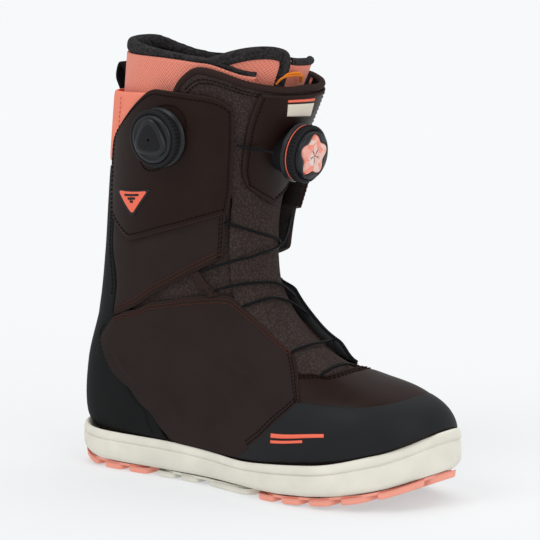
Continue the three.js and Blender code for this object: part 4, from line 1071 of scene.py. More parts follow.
# The vamp and the toe cap run under the quarters, the vamp also under the toe cap.
VAMP_TOP = [(5.7, 40), (5.23, 32.7), (4.98, 27.5), (4.7, 24.5), (4.52, 14), (4.45, 0)]
VAMP_BOTTOM = [(4.6, 62), (4.35, 54), (3.75, 50), (2.95, 42), (2.4, 23.5), (2.2, 0)]
CAP_TOP = [(6.6, 99), (5.9, 84), (5.3, 64), (4.95, 54), (4.0, 48.8), (3.15, 41.8), (2.62, 24), (2.48, 0)]
UNDER = 0.75
COUNTER_SIDE = [(10.9, 107), (10.9, 120), (10.16, 109), (9.64, 101), (9.1, 94), (8.3, 93)]


def build_toe_and_heel():
    vamp = Panel(outer=PANEL_OUT - UNDER, top=across_front(through(VAMP_TOP)),
                 bottom=across_front(through(VAMP_BOTTOM)))
    vamp.mesh("vamp_skin", "lower", "satin_shell", cell=2.0, relief=puff(0.5, 6.0), nodes=["vamp"])
    for inset in (2.6, 4.8):
        stitch(vamp.row("top", inset, 0.03, 0.97), "lower", "brown_thread", PANEL_OUT - UNDER + 0.45)
    piping("vamp_edge", vamp.row("top", 0.2), "lower", "brown_cloth", radius=0.5, lift=PANEL_OUT - UNDER - 0.1)

    cap = Panel(outer=PANEL_OUT - 0.2, top=across_front(through(CAP_TOP)),
                bottom=across_front(on_rim(6.3, TOE_STATION)))
    cap.mesh("toe_cap_rubber", "lower", "black_rubber", cell=2.0, reach=0.8, relief=puff(0.15, 5.0),
             nodes=["toe_cap"])

    heel_foot = (7.8, float(rim_angle(np.array([7.8]))[0]))
    counter_top = lambda u: np.stack(
        [station_on(LOWER_EDGE, 107 + 73 * np.asarray(u)), 107 + 73 * np.asarray(u)], axis=-1)
    side = straight([tuple(counter_top(np.zeros(1))[0]), *COUNTER_SIDE[1:], heel_foot])
    counter = Panel(outer=PANEL_OUT - 0.5, top=across_back(counter_top),
                    bottom=across_back(on_rim(7.8, HEEL_STATION)), left=side, right=mirrored(side))
    counter.mesh("heel_counter_skin", "lower", "black_textile", cell=2.2, relief=puff(0.3, 5.0),
                 nodes=["heel_counter"])
    for where in ("left", "right"):
        stitch(counter.row(where, 5.2, 0.10, 0.95), "lower", "black_thread", PANEL_OUT - 0.1)


def build_toe_mark():
    """Two plain coral stripes on the outer side of the toe cap."""
    area = patch(top=through([(5.24, 78), (3.81, 71.3)]), bottom=through([(5.16, 84.5), (3.73, 78.2)]))
    parts = []
    for lo, hi, first, last in ((0.0, 1.0, 0.08, 0.46), (0.0, 0.62, 0.66, 0.92)):
        u, v = np.meshgrid(np.linspace(lo, hi, 40), np.linspace(first, last, 11), indexing="ij")
        place = area(u, v)
        edge = np.minimum(np.minimum(u - lo, hi - u) * 6, np.minimum(v - first, last - v) / (last - first))
        top = skin(place[..., 0], place[..., 1], PANEL_OUT + 0.15 + 0.35 * smooth(edge, -0.02, 0.2))
        under = skin(place[..., 0], place[..., 1], PANEL_OUT - 0.4)
        parts.append(block_between(top, under))
    points, faces, uv = joined(parts)
    piece("toe_mark", points, faces, "lower", "coral_badge", uv=uv)


# ------------------------------------------------------------------ shaft

SHAFT_TOP = 15.95
SHAFT_PANEL = dict(
    top=through([(13.7, 130), (13.0, 113), (12.85, 106), (12.6, 96), (12.25, 79), (11.85, 58), (11.5, 42)]),
    bottom=straight([(11.16, 111.6), (10.92, 100.5), (10.62, 86.7), (10.3, 70.7), (9.94, 53), (9.68, 41.2)]),
    left=straight([(13.7, 130), (13.0, 129), (12.08, 119), (11.16, 111.6)]),
    right=straight([(11.5, 42), (11.13, 40.5), (10.36, 39.8), (9.68, 41.2)]),
)
STAND_OFF = 12.0
HEEL_BEND = ("lower", "shaft", (-0.138, 0.0, 0.1085), (-0.138, 0.0, 0.1215))


def stand_off(side):
    """Lift of the front edges of the shaft off the tongue, which only the inner side has."""
    if side == "outer":
        return lambda s, t, near: np.zeros(np.shape(s))
    return lambda s, t, near: lift_at(s, t)


def lift_at(s, t):
    return STAND_OFF * smooth(t, 290, 318) * smooth(s, 8.5, 9.9) * (1 - smooth(s, 12.4, 14.2))


def build_shaft():
    high = lambda t: np.full(np.shape(t), SHAFT_TOP - 0.4)
    Panel(outer=SLEEVE_OUT, wall=2.0, **wrap(30, 330, shaft_mouth, high)).mesh(
        "shaft_sleeve_cloth", "shaft", "mesh_textile", cell=3.0, reach=0.5, nodes=["shaft_sleeve"])

    for side, edges in both_sides(SHAFT_PANEL):
        panel = Panel(**edges)
        raised = stand_off(side)
        panel.mesh(f"shaft_panel_{side}_skin", "shaft", "matte_shell", cell=2.0,
                   relief=sum_of(puff(0.35, 5.0), raised), nodes=[f"shaft_panel_{side}"])
        if side == "inner":
            lining = Panel(outer=PANEL_OUT - 2.0, wall=1.6, **edges)
            lining.mesh("shaft_panel_inner_lining", "shaft", "binding", cell=2.4, relief=raised)
            continue
        for inset in (3.0, 5.3):
            stitch(panel.row("bottom", inset, 0.02, 0.98), "shaft", "rust_thread", PANEL_OUT + 0.35)
            stitch(panel.row("right", inset, 0.02, 0.98), "shaft", "brown_thread", PANEL_OUT + 0.35)
        piping("shaft_panel_outer_edge", panel.row("bottom", 0.25), "shaft", "brown_cloth", radius=0.5,
               lift=PANEL_OUT - 0.05)

    foot = lambda t: (float(station_on(LOWER_EDGE, np.array(t), -2.5)), t)
    stay_side = straight([(14.6, 131), (13.7, 131), (13.0, 130), (12.08, 120.3), (11.3, 113.6), foot(110.5)])
    stay = Panel(outer=PANEL_OUT - 0.1, top=across_back(through([(14.6, 131), (14.6, 180)])),
                 bottom=across_back(through([foot(110.5), foot(140.0), foot(180.0)])),
                 left=stay_side, right=mirrored(stay_side))
    stay.mesh("backstay_skin", None, "black_textile", cell=2.2, relief=puff(0.2, 6.0), nodes=["backstay"],
              blend=HEEL_BEND)
    for where in ("left", "right"):
        stitch(stay.row(where, 3.6, 0.03, 0.80), "shaft", "black_thread", PANEL_OUT + 0.15)


def build_rear_collar():
    """Coral band behind the shaft, with a seam up each side."""
    edges = dict(top=across_back(through([(SHAFT_TOP, 104), (SHAFT_TOP, 180)])),
                 bottom=across_back(through([(15.3, 112), (14.85, 125), (14.7, 140), (14.68, 180)])))
    band = Panel(**edges)
    seams = [ridge([(15.95, t), (14.8, t)], 1.5, -0.9) for t in (127.5, 232.5)]
    roll = lambda s, t, near: 0.45 * (1 - np.exp(-((near / 2.2) ** 2)))
    band.mesh("rear_collar_knit", "shaft", "coral_cloth", cell=1.8, relief=sum_of(roll, *seams),
              nodes=["rear_collar"])
    for t in (129.5, 230.5):
        line = (np.linspace(15.86, 14.8, 60), np.full(60, t))
        stitch(line, "shaft", "coral_thread", PANEL_OUT + 0.5)


LOOP_WIDTH, LOOP_THICKNESS, LOOP_RISE, LOOP_OPENING = 15.0, 1.8, 17.0, 9.0


def build_heel_loop():
    """Webbing loop behind the collar."""
    outside = PANEL_OUT + 0.6 + LOOP_THICKNESS / 2
    foot, top = skin(np.array(15.2), np.array(180.0), outside), skin(np.array(SHAFT_TOP), np.array(180.0), outside)
    rise = lambda x, z: top + np.array([x, 0, z])
    stops = [foot, foot + (top - foot) * 0.6, rise(-0.6, -2),
             rise(LOOP_THICKNESS + 3 - LOOP_OPENING, LOOP_RISE * 0.45),
             rise(3 - LOOP_OPENING / 2, LOOP_RISE), rise(3, LOOP_RISE * 0.75), rise(4, LOOP_RISE * 0.4), rise(4, 3)]
    path = spline(stops, count=90)
    tangent = np.gradient(path, axis=0)
    normals = np.stack([-tangent[:, 2], np.zeros(len(path)), tangent[:, 0]], axis=1)
    points, faces, uv = swept(path, rounded_strip(LOOP_WIDTH, LOOP_THICKNESS), normals)
    piece("heel_loop_webbing", points, faces, "shaft", "webbing", nodes=["heel_loop"], uv=uv)


# ------------------------------------------------------------------ liner collar

LINER_IN = -11.7
LINER_FRONT = 42.0
LINER_TONGUE_OUT = -12.5


def collar_edge(t):
    return 16.9 - 0.4 * smooth(np.cos(np.radians(t)), 0.2, 0.8) - 0.28 * smooth(t, 190, 240)


def collar_foot(t):
    return collar_edge(t) - 0.14 - 0.1 * smooth(-np.cos(np.radians(t)), 0, 0.9)


def cloth_pad(obj, pressure, cap, voxel):
    """Swells a pad with the cloth solver, and holds every point within cap metres of where it began."""
    bpy.context.view_layer.objects.active = obj
    obj.select_set(True)
    remesh = obj.modifiers.new("remesh", "REMESH")
    remesh.mode = "VOXEL"
    remesh.voxel_size = voxel
    bpy.ops.object.modifier_apply(modifier=remesh.name)
    start = np.empty(len(obj.data.vertices) * 3)
    obj.data.vertices.foreach_get("co", start)
    pins = obj.vertex_groups.new(name="sewn")
    low = start.reshape(-1, 3)[:, 2].min()
    for i, z in enumerate(start.reshape(-1, 3)[:, 2]):
        pins.add([i], float(np.clip(1 - (z - low) / 0.006, 0, 1)), "REPLACE")
    cloth = obj.modifiers.new("cloth", "CLOTH")
    cloth.settings.use_pressure = True
    cloth.settings.uniform_pressure_force = pressure
    cloth.settings.effector_weights.gravity = 0
    cloth.settings.vertex_group_mass = pins.name
    cloth.settings.quality = 5
    scene = bpy.context.scene
    for step in range(1, 19):
        scene.frame_set(step)
    bpy.ops.object.modifier_apply(modifier=cloth.name)
    scene.frame_set(1)
    end = np.empty_like(start)
    obj.data.vertices.foreach_get("co", end)
    move = (end - start).reshape(-1, 3)
    far = np.linalg.norm(move, axis=1, keepdims=True)
    held = start.reshape(-1, 3) + move * np.minimum(1, cap / np.maximum(far, 1e-9))
    obj.data.vertices.foreach_set("co", held.ravel())
    smoother = obj.modifiers.new("smoother", "SMOOTH")
    smoother.iterations = 4
    bpy.ops.object.modifier_apply(modifier=smoother.name)
    finer = obj.modifiers.new("finer", "SUBSURF")
    finer.levels = finer.render_levels = 1
    bpy.ops.object.modifier_apply(modifier=finer.name)
    obj.data.polygons.foreach_set("use_smooth", np.ones(len(obj.data.polygons), bool))
    obj.data.update()
    obj.select_set(False)


def raw_object(name, points, faces, look):
    """Mesh object that isn't finished as a piece yet."""
    if signed_volume(points, faces) < 0:
        faces = [f[::-1] for f in faces]
    mesh = bpy.data.meshes.new(name)
    mesh.from_pydata((points * MM).tolist(), [], [tuple(int(i) for i in f) for f in faces])
    mesh.polygons.foreach_set("use_smooth", np.ones(len(mesh.polygons), bool))
    obj = bpy.data.objects.new(name, mesh)
    bpy.context.scene.collection.objects.link(obj)
    mesh.materials.append(LOOKS[look])
    return obj


def pad_band(t0, t1, low, high, out, inside, columns=130, rows=16):
    """Closed band between two lines and two heights, rounded all around, as a foam pad is cut."""
    turn = np.linspace(0, 2 * math.pi, rows * 2, endpoint=False)
    u, v = np.meshgrid(np.linspace(0, 1, columns), turn, indexing="ij")
    t = t0 + (t1 - t0) * u
    up = 0.5 - 0.5 * np.sign(np.cos(v)) * np.abs(np.cos(v)) ** 0.8
    s = low(t) + (high(t) - low(t)) * up
    taper = np.clip(np.minimum(u, 1 - u) * columns / 3, 0, 1) ** 0.5
    across = np.sign(np.sin(v)) * np.abs(np.sin(v)) ** 0.8 * np.maximum(taper, 0.15)
    h = (out(t) + inside(t)) / 2 + across * (out(t) - inside(t)) / 2
    points = skin(s, t, h).reshape(-1, 3)
    n = rows * 2
    faces = grid_faces(columns, n, around=True)
    faces += [tuple(range(n))[::-1], tuple(range((columns - 1) * n, columns * n))]
    return points, faces


def build_liner():
    """Coral knit over black fleece, with a foam collar that swells between its seams."""
    Panel(outer=LINER_OUT - 1.6, wall=3.4, **wrap(LINER_FRONT, 360 - LINER_FRONT, shaft_mouth, collar_edge)).mesh(
        "liner_shaft_fleece", "shaft", "fleece", cell=3.2, reach=1.4, nodes=["liner_shaft"])
    knit_foot = lambda t: np.full(np.shape(t), 14.6)
    Panel(outer=LINER_OUT, wall=1.8, **wrap(LINER_FRONT, 360 - LINER_FRONT, knit_foot, collar_foot)).mesh(
        "liner_shaft_knit", "shaft", "coral_trim", cell=2.4, reach=0.8)
    behind = lambda t: smooth(-np.cos(np.radians(t)), -0.3, 0.95)
    low = lambda t: collar_foot(t) - 0.01
    high = lambda t: collar_edge(t) + 0.02
    out = lambda t: LINER_OUT + 0.1 + 0.6 * behind(t)
    inside = lambda t: LINER_IN + 0.8 - 3.0 * behind(t)
    points, faces = pad_band(LINER_FRONT, 360 - LINER_FRONT, low, high, out, inside)
    collar = raw_object("liner_collar_pad", points, faces, "fleece")
    cloth_pad(collar, 3.5, 0.0016, 0.0022)
    finish_piece(collar, "shaft", "fleece", ["liner_collar"])


def build_liner_tongue():
    """Tongue of the liner, the wing that overlaps it, and two loops of orange cord."""
    top = through([(16.9, 62), (17.1, 36), (17.0, 22), (16.8, 5), (16.75, -15), (16.8, -38)])
    root = lambda t: (float(shaft_mouth(np.array(float(t)), 5.0)), t)
    across = lambda u: 36 - 72 * np.asarray(u, float)
    edges = dict(
        top=top,
        bottom=lambda u: np.stack([shaft_mouth(across(u), 5.0), across(u)], axis=-1),
        left=through([(16.9, 62), (15.5, 52), (13.5, 42), root(36)]),
        right=through([(16.8, -38), (15.5, -38), (13.5, -37), root(-36)]),
    )
    lining = Panel(outer=LINER_TONGUE_OUT - 1.4, wall=2.6, **edges)
    lining.mesh("liner_tongue_fleece", "shaft", "fleece", cell=2.8, reach=1.0, nodes=["liner_tongue"])
    knit = Panel(outer=LINER_TONGUE_OUT, wall=1.6, **edges)
    knit.mesh("liner_tongue_knit", "shaft", "coral_trim", cell=2.6, reach=0.7)
    piping("liner_tongue_roll", knit.row("top", 1.0, 0.5, 1.0), "shaft", "fleece", radius=2.6,
           lift=LINER_TONGUE_OUT - 1.6)

    wing = Panel(outer=LINER_TONGUE_OUT + 1.6, wall=1.6,
                 top=through([(16.75, 76), (17.15, 56), (17.3, 40), (17.25, 28), (17.05, 19)]),
                 bottom=through([(15.3, 70), (15.3, 54), (15.3, 38), (15.3, 26), (15.3, 16)]))
    wing.mesh("liner_wing_knit", "shaft", "coral_trim", cell=2.2, reach=0.7)
    bound = []
    for where, lo, hi in (("top", 0.0, 0.999), ("right", 0.02, 1.0)):
        s, t = wing.row(where, 0.6, lo, hi)
        bound.append(np.stack([s, t], axis=1))
    line = straight(np.vstack(bound)[::6], 12.0)(np.linspace(0, 1, 300))
    piping("liner_wing_roll", (line[:, 0], line[:, 1]), "shaft", "fleece", radius=4.6,
           lift=LINER_TONGUE_OUT + 0.2, flat=0.85)

    parts = []
    for drop, reach in ((0.0, 0.0), (0.12, 2.0)):
        stops = [(16.05 - drop, 20 + reach, -9.6), (16.36 - drop, 17 + reach, -8.6), (16.44 - drop, 9, -8.2),
                 (16.34 - drop, 2 - reach, -8.6), (16.0 - drop, -1 - reach, -9.6)]
        path = spline([skin(np.array(s), np.array(float(t)), h) for s, t, h in stops], count=60)
        parts.append(swept(path, circle(0.8)))
    points, faces, uv = joined(parts)
    piece("liner_cord_loops", points, faces, "shaft", "orange_cord", uv=uv)


# ------------------------------------------------------------------ flaps

FLAP_IN, FLAP_OUT = 0.2, 2.6
FLAP = dict(
    top=straight([(15.15, 126.7), (15.65, 112.8), (16.06, 101), (15.95, 81.6), (15.84, 66.7), (15.63, 57.8),
                  (15.32, 52.4)], 9.0),
    bottom=straight([(13.62, 128.8), (12.7, 108.1), (12.41, 92.4), (12.01, 75.2), (11.63, 58.3), (11.23, 40.7)], 4.0),
    left=through([(15.15, 126.7), (14.94, 131.5), (14.3, 131.3), (13.97, 130.3), (13.62, 128.8)]),
    right=through([(15.32, 52.4), (14.69, 49.4), (13.77, 45.8), (12.15, 40.8), (11.23, 40.7)]),
)


def build_flaps():
    for side, edges in both_sides(FLAP):
        panel = Panel(outer=FLAP_OUT, wall=2.3, **edges)
        body = f"{side}_flap"
        crease = ridge(flip([(14.0, 75), (12.9, 72), (12.3, 66)], side), 14.0, -0.5)
        raised = stand_off(side)
        panel.mesh(f"flap_{side}_skin", body, "satin_shell", cell=2.0, relief=sum_of(puff(0.5, 6.0), crease, raised),
                   nodes=[f"flap_{side}"])
        if side == "inner":
            lining = Panel(outer=FLAP_IN + 0.1, wall=1.0, **edges)
            lining.mesh("flap_inner_lining", body, "binding", cell=2.4, relief=raised)
        for where, inset in (("top", 3.6), ("right", 3.6), ("bottom", 3.6), ("left", 3.4)):
            s, t = panel.row(where, inset, 0.025, 0.975)
            stitch((s, t), body, "brown_thread", FLAP_OUT + 0.35 + (lift_at(s, t) if side == "inner" else 0))
        for where in ("top", "bottom", "left", "right"):
            s, t = panel.row(where, 0.5)
            lift = FLAP_OUT - 0.75 + (lift_at(s, t) if side == "inner" else 0)
            piping(f"flap_{side}_{where}_piping", (s, t), body, "brown_cloth", radius=0.85, lift=lift)
    around_dial()


def around_dial():
    """Ring of stitches in the flap around its dial."""
    s0, t0, radius = 14.85, 91.5, KNOB_RADIUS + 3.6
    here = skin(np.array(s0), np.array(t0))
    per_station = np.linalg.norm(skin(np.array(s0 + 0.1), np.array(t0)) - here) * 10
    per_degree = np.linalg.norm(skin(np.array(s0), np.array(t0 + 1.0)) - here)
    a = np.linspace(0, 2 * math.pi, 240)
    ring = (s0 + radius * np.sin(a) / per_station, t0 + radius * np.cos(a) / per_degree)
    stitch(ring, "outer_flap", "brown_thread", FLAP_OUT + 0.85)


def build_flap_badge():
    """Plain triangle badge: coral field in a black frame, with three raised bars."""
    tips = np.array([(14.05, 121.5), (13.6, 93.5), (13.15, 105.0)])
    middle = tips.mean(axis=0)
    layers = [("flap_badge_frame", 1.0, "black_badge", 0.2, 1.1),
              ("flap_badge_field", 0.80, "coral_badge", 0.9, 1.45)]
    for name, size, look, low, high in layers:
        corners = middle + (tips - middle) * size
        points, faces = triangle_plate(corners, FLAP_OUT + low, FLAP_OUT + high, 2.6 * size)
        piece(name, points, faces, "outer_flap", look, slot="coral_trim",
              nodes=["flap_badge"] if name.endswith("frame") else ())
    parts = []
    for lo, hi, drop in ((0.20, 0.80, 0.13), (0.31, 0.69, 0.30), (0.41, 0.59, 0.46)):
        a, b, c = middle + (tips - middle) * 0.72
        left, right = a + (c - a) * drop, b + (c - b) * drop
        line = through([left + (right - left) * lo, left + (right - left) * hi])(np.linspace(0, 1, 20))
        spine, normals = on_skin(line[:, 0], line[:, 1], FLAP_OUT + 1.5, 14)
        parts.append(swept(spine, rounded_strip(1.5, 0.7), normals))
    points, faces, uv = joined(parts)
    piece("flap_badge_bars", points, faces, "outer_flap", "black_badge", uv=uv)


def triangle_plate(corners, low, high, radius):
    """Plate on the skin with three rounded corners and a softened top edge."""
    outline = []
    for k in range(3):
        a, b, c = corners[k - 1], corners[k], corners[(k + 1) % 3]
        reach = 0.10 + 0.01 * radius
        for f in np.linspace(0, 1, 7):
            p, q = b + (a - b) * reach * (1 - f), b + (c - b) * reach * f
            outline.append(p * (1 - f) + q * f)
        for f in np.linspace(reach, 1 - reach, 16)[1:-1]:
            outline.append(b + (c - b) * f)
    outline = np.array(outline)
    middle = outline.mean(axis=0)
    shells = [(1.0, low), (1.0, high - 0.25), (0.985, high - 0.06), (0.96, high)]
    shells += [(size, high) for size in (0.8, 0.6, 0.4, 0.2)]
    points = []
    for size, h in shells:
        ring = middle + (outline - middle) * size
        points.append(skin(ring[:, 0], ring[:, 1], h))
    n = len(outline)
    points = np.concatenate(points + [skin(middle[0], middle[1], high)[None], skin(middle[0], middle[1], low)[None]])
    faces = grid_faces(len(shells), n, around=True)
    last = (len(shells) - 1) * n
    faces += [(last + j, last + (j + 1) % n, len(points) - 2) for j in range(n)]
    faces += [((j + 1) % n, j, len(points) - 1) for j in range(n)]
    return points, faces


# ------------------------------------------------------------------ tongue

FACE_OUT = FLAP_IN + 1.8
EAR_FRONT = [(16.0, 28), (15.9, 14), (15.95, 0)]
OUTER_EAR = through([(15.9, 90), (16.3, 87), (16.62, 79), (16.55, 66), (16.25, 48), *EAR_FRONT])
INNER_EAR = through([(15.9, 90), (16.15, 85), (16.3, 76), (16.28, 62), (16.15, 46), *EAR_FRONT])
FACE_SIDE = through([(15.85, 37), (14.6, 38.5), (13.5, 36.5), (12.6, 33.5), (11.9, 27)])


def opposite(curve):
    return lambda u: curve(u) * (1, -1)


def tongue_edge(u):
    """Upper edge of the tongue, from its tall outer ear over the front to its inner ear."""
    u = np.asarray(u, float)
    return np.where((u < 0.5)[..., None], OUTER_EAR(u * 2), opposite(INNER_EAR)(2 - u * 2))


def build_tongue():
    root = float(shaft_mouth(np.array(37.0), 5.0))
    side = through([(15.9, 90), (14.6, 74), (13.2, 58), (12.2, 44), (11.4, 37), (root - 0.5, 37)])
    foot = lambda u: np.stack([shaft_mouth(37 - 37 * np.asarray(u), 5.0) - 0.5, 37 - 37 * np.asarray(u)], axis=-1)
    edges = dict(top=tongue_edge, bottom=across_front(foot), left=side, right=opposite(side))
    shaft = Panel(**edges)
    lining = Panel(outer=PANEL_OUT - 1.8, wall=1.0, **edges)
    lining.mesh("tongue_lining", None, "binding", cell=3.0, blend=TONGUE_BEND)
    shaft.mesh("tongue_shaft_cloth", None, "mesh_textile", cell=2.0, nodes=["tongue_shaft"], blend=TONGUE_BEND)
    piping("tongue_binding", shaft.row("top", 0.6), "tongue", "brown_cloth", radius=2.5, lift=PANEL_OUT - 1.0)
    for where in ("left", "right"):
        piping(f"tongue_{where}_binding", shaft.row(where, 0.4, 0.0, 0.72), "tongue", "brown_cloth", radius=1.5,
               lift=PANEL_OUT - 0.7)
    stitch(shaft.row("top", 5.5, 0.03, 0.97), "tongue", "brown_thread", PANEL_OUT + 0.3)
    stitch(shaft.row("top", 7.8, 0.03, 0.97), "tongue", "brown_thread", PANEL_OUT + 0.3)

    low_side = through([(root + 0.35, 36.5), (9.6, 36.5), (8.35, 38), (6.8, 34), (5.97, 32), (4.85, 36)])
    tucked = lambda s, t, near: -1.1 * (1 - smooth(s, 4.9, 5.9))
    Panel(outer=PANEL_OUT - 0.6, wall=1.8, top=low_side, bottom=opposite(low_side)).mesh(
        "tongue_foot_cloth", None, "mesh_textile", cell=2.0, reach=0.5, relief=tucked, nodes=["tongue_foot"],
        blend=ANKLE_BEND)

    face = Panel(outer=FACE_OUT, wall=1.8, top=across_front(through([(15.85, 37), (15.7, 20), (15.65, 0)])),
                 bottom=across_front(through([(11.9, 27), (11.2, 13.5), (10.7, 0)])),
                 left=FACE_SIDE, right=opposite(FACE_SIDE))
    face.mesh("tongue_face_skin", "tongue", "satin_shell", cell=2.0, relief=puff(0.5, 5.0), nodes=["tongue_face"])
    for where in ("top", "bottom", "left", "right"):
        piping(f"tongue_face_{where}_piping", face.row(where, 0.4), "tongue", "brown_cloth", radius=1.15,
               lift=FACE_OUT - 0.7)
    for where in ("left", "right", "bottom"):
        stitch(face.row(where, 3.4, 0.02, 0.98), "tongue", "brown_thread", FACE_OUT + 0.4)


def build_tongue_badge():
    """Plain two-tone label: a cream block under a coral bar."""
    area = patch(top=through([(15.55, 17), (15.5, 0), (15.5, -9)]),
                 bottom=through([(14.75, 13), (14.65, 0), (14.6, -14)]))
    for first, last, look in ((0.0, 0.14, "coral_badge"), (0.26, 1.0, "cream_badge")):
        u, v = np.meshgrid(np.linspace(0.02, 0.98, 30), np.linspace(first, last, 12), indexing="ij")
        place = area(u, v)
        near = np.minimum(np.minimum(u - 0.02, 0.98 - u) * 4, np.minimum(v - first, last - v) / (last - first))
        top = skin(place[..., 0], place[..., 1], FACE_OUT + 0.45 + 0.4 * smooth(near, -0.02, 0.14))
        under = skin(place[..., 0], place[..., 1], FACE_OUT - 0.1)
        points, faces, uv = block_between(top, under)
        piece(f"tongue_{look}", points, faces, "tongue", look, uv=uv,
              nodes=["tongue_badge"] if look == "cream_badge" else ())


def block_between(top, under):
    """Closed block between two grids of points."""
    rows, columns = top.shape[:2]
    n = rows * columns
    index = np.arange(n).reshape(rows, columns)
    ring = np.concatenate([index[0, :-1], index[:-1, -1], index[-1, :0:-1], index[:0:-1, 0]])
    faces = grid_faces(rows, columns) + [f[::-1] for f in grid_faces(rows, columns, n)]
    faces += [(a, b, b + n, a + n) for a, b in zip(ring, np.roll(ring, -1))]
    points = np.concatenate([top.reshape(-1, 3), under.reshape(-1, 3)])
    if signed_volume(points, faces) < 0:
        faces = [f[::-1] for f in faces]
    return points, faces, points[:, :2] * MM


# ------------------------------------------------------------------ dials

KNOB_RADIUS, KNOB_HEIGHT, BASE_RADIUS, BASE_HEIGHT, DIAL_GAP = 18.8, 8.4, 17.4, 3.0, 0.4
KNOB_TOP = BASE_HEIGHT + DIAL_GAP + KNOB_HEIGHT
CUP_ROOF = 2.2


def turned(profile, segments=96, edge=None):
    """Closed solid of revolution about its own z axis. edge(a, radius, height) may shape each ring."""
    a = np.arange(segments) * 2 * math.pi / segments
    rings = []
    for r, z in profile:
        radius = edge(a, r, z) if edge else np.full(segments, float(r))
        rings.append(np.stack([np.cos(a) * radius, np.sin(a) * radius, np.full(segments, float(z))], axis=1))
    points = np.concatenate(rings)
    faces = grid_faces(len(profile), segments, around=True)
    last = (len(profile) - 1) * segments
    if profile[0] != profile[-1]:
        faces += [tuple(range(segments))[::-1], tuple(range(last, last + segments))]
    return points, faces, np.stack([np.tile(a * 18, len(profile)), points[:, 2]], axis=1) * MM


def trefoil(size, a):
    """Radius at angles a of a triangle with soft corners and bowed sides."""
    b = a - math.pi / 2
    return size * (0.86 + 0.12 * np.cos(3 * b) + 0.02 * np.cos(6 * b))


class DialPlace:
    """The place of a dial, taken from its joint: its own z axis points out of the boot."""

    def __init__(self, joint_name):
        joint = next(j for j in frame["joints"] if j["name"] == joint_name)
        out = np.array(joint["axis"], float)
        out /= np.linalg.norm(out)
        side = np.cross((0, 0, 1), out)
        side /= np.linalg.norm(side)
        self.turn = np.stack([side, np.cross(out, side), out], axis=1)
        self.origin = np.array(joint["pos_m"], float) / MM

    def put(self, points):
        return self.origin + points @ self.turn.T


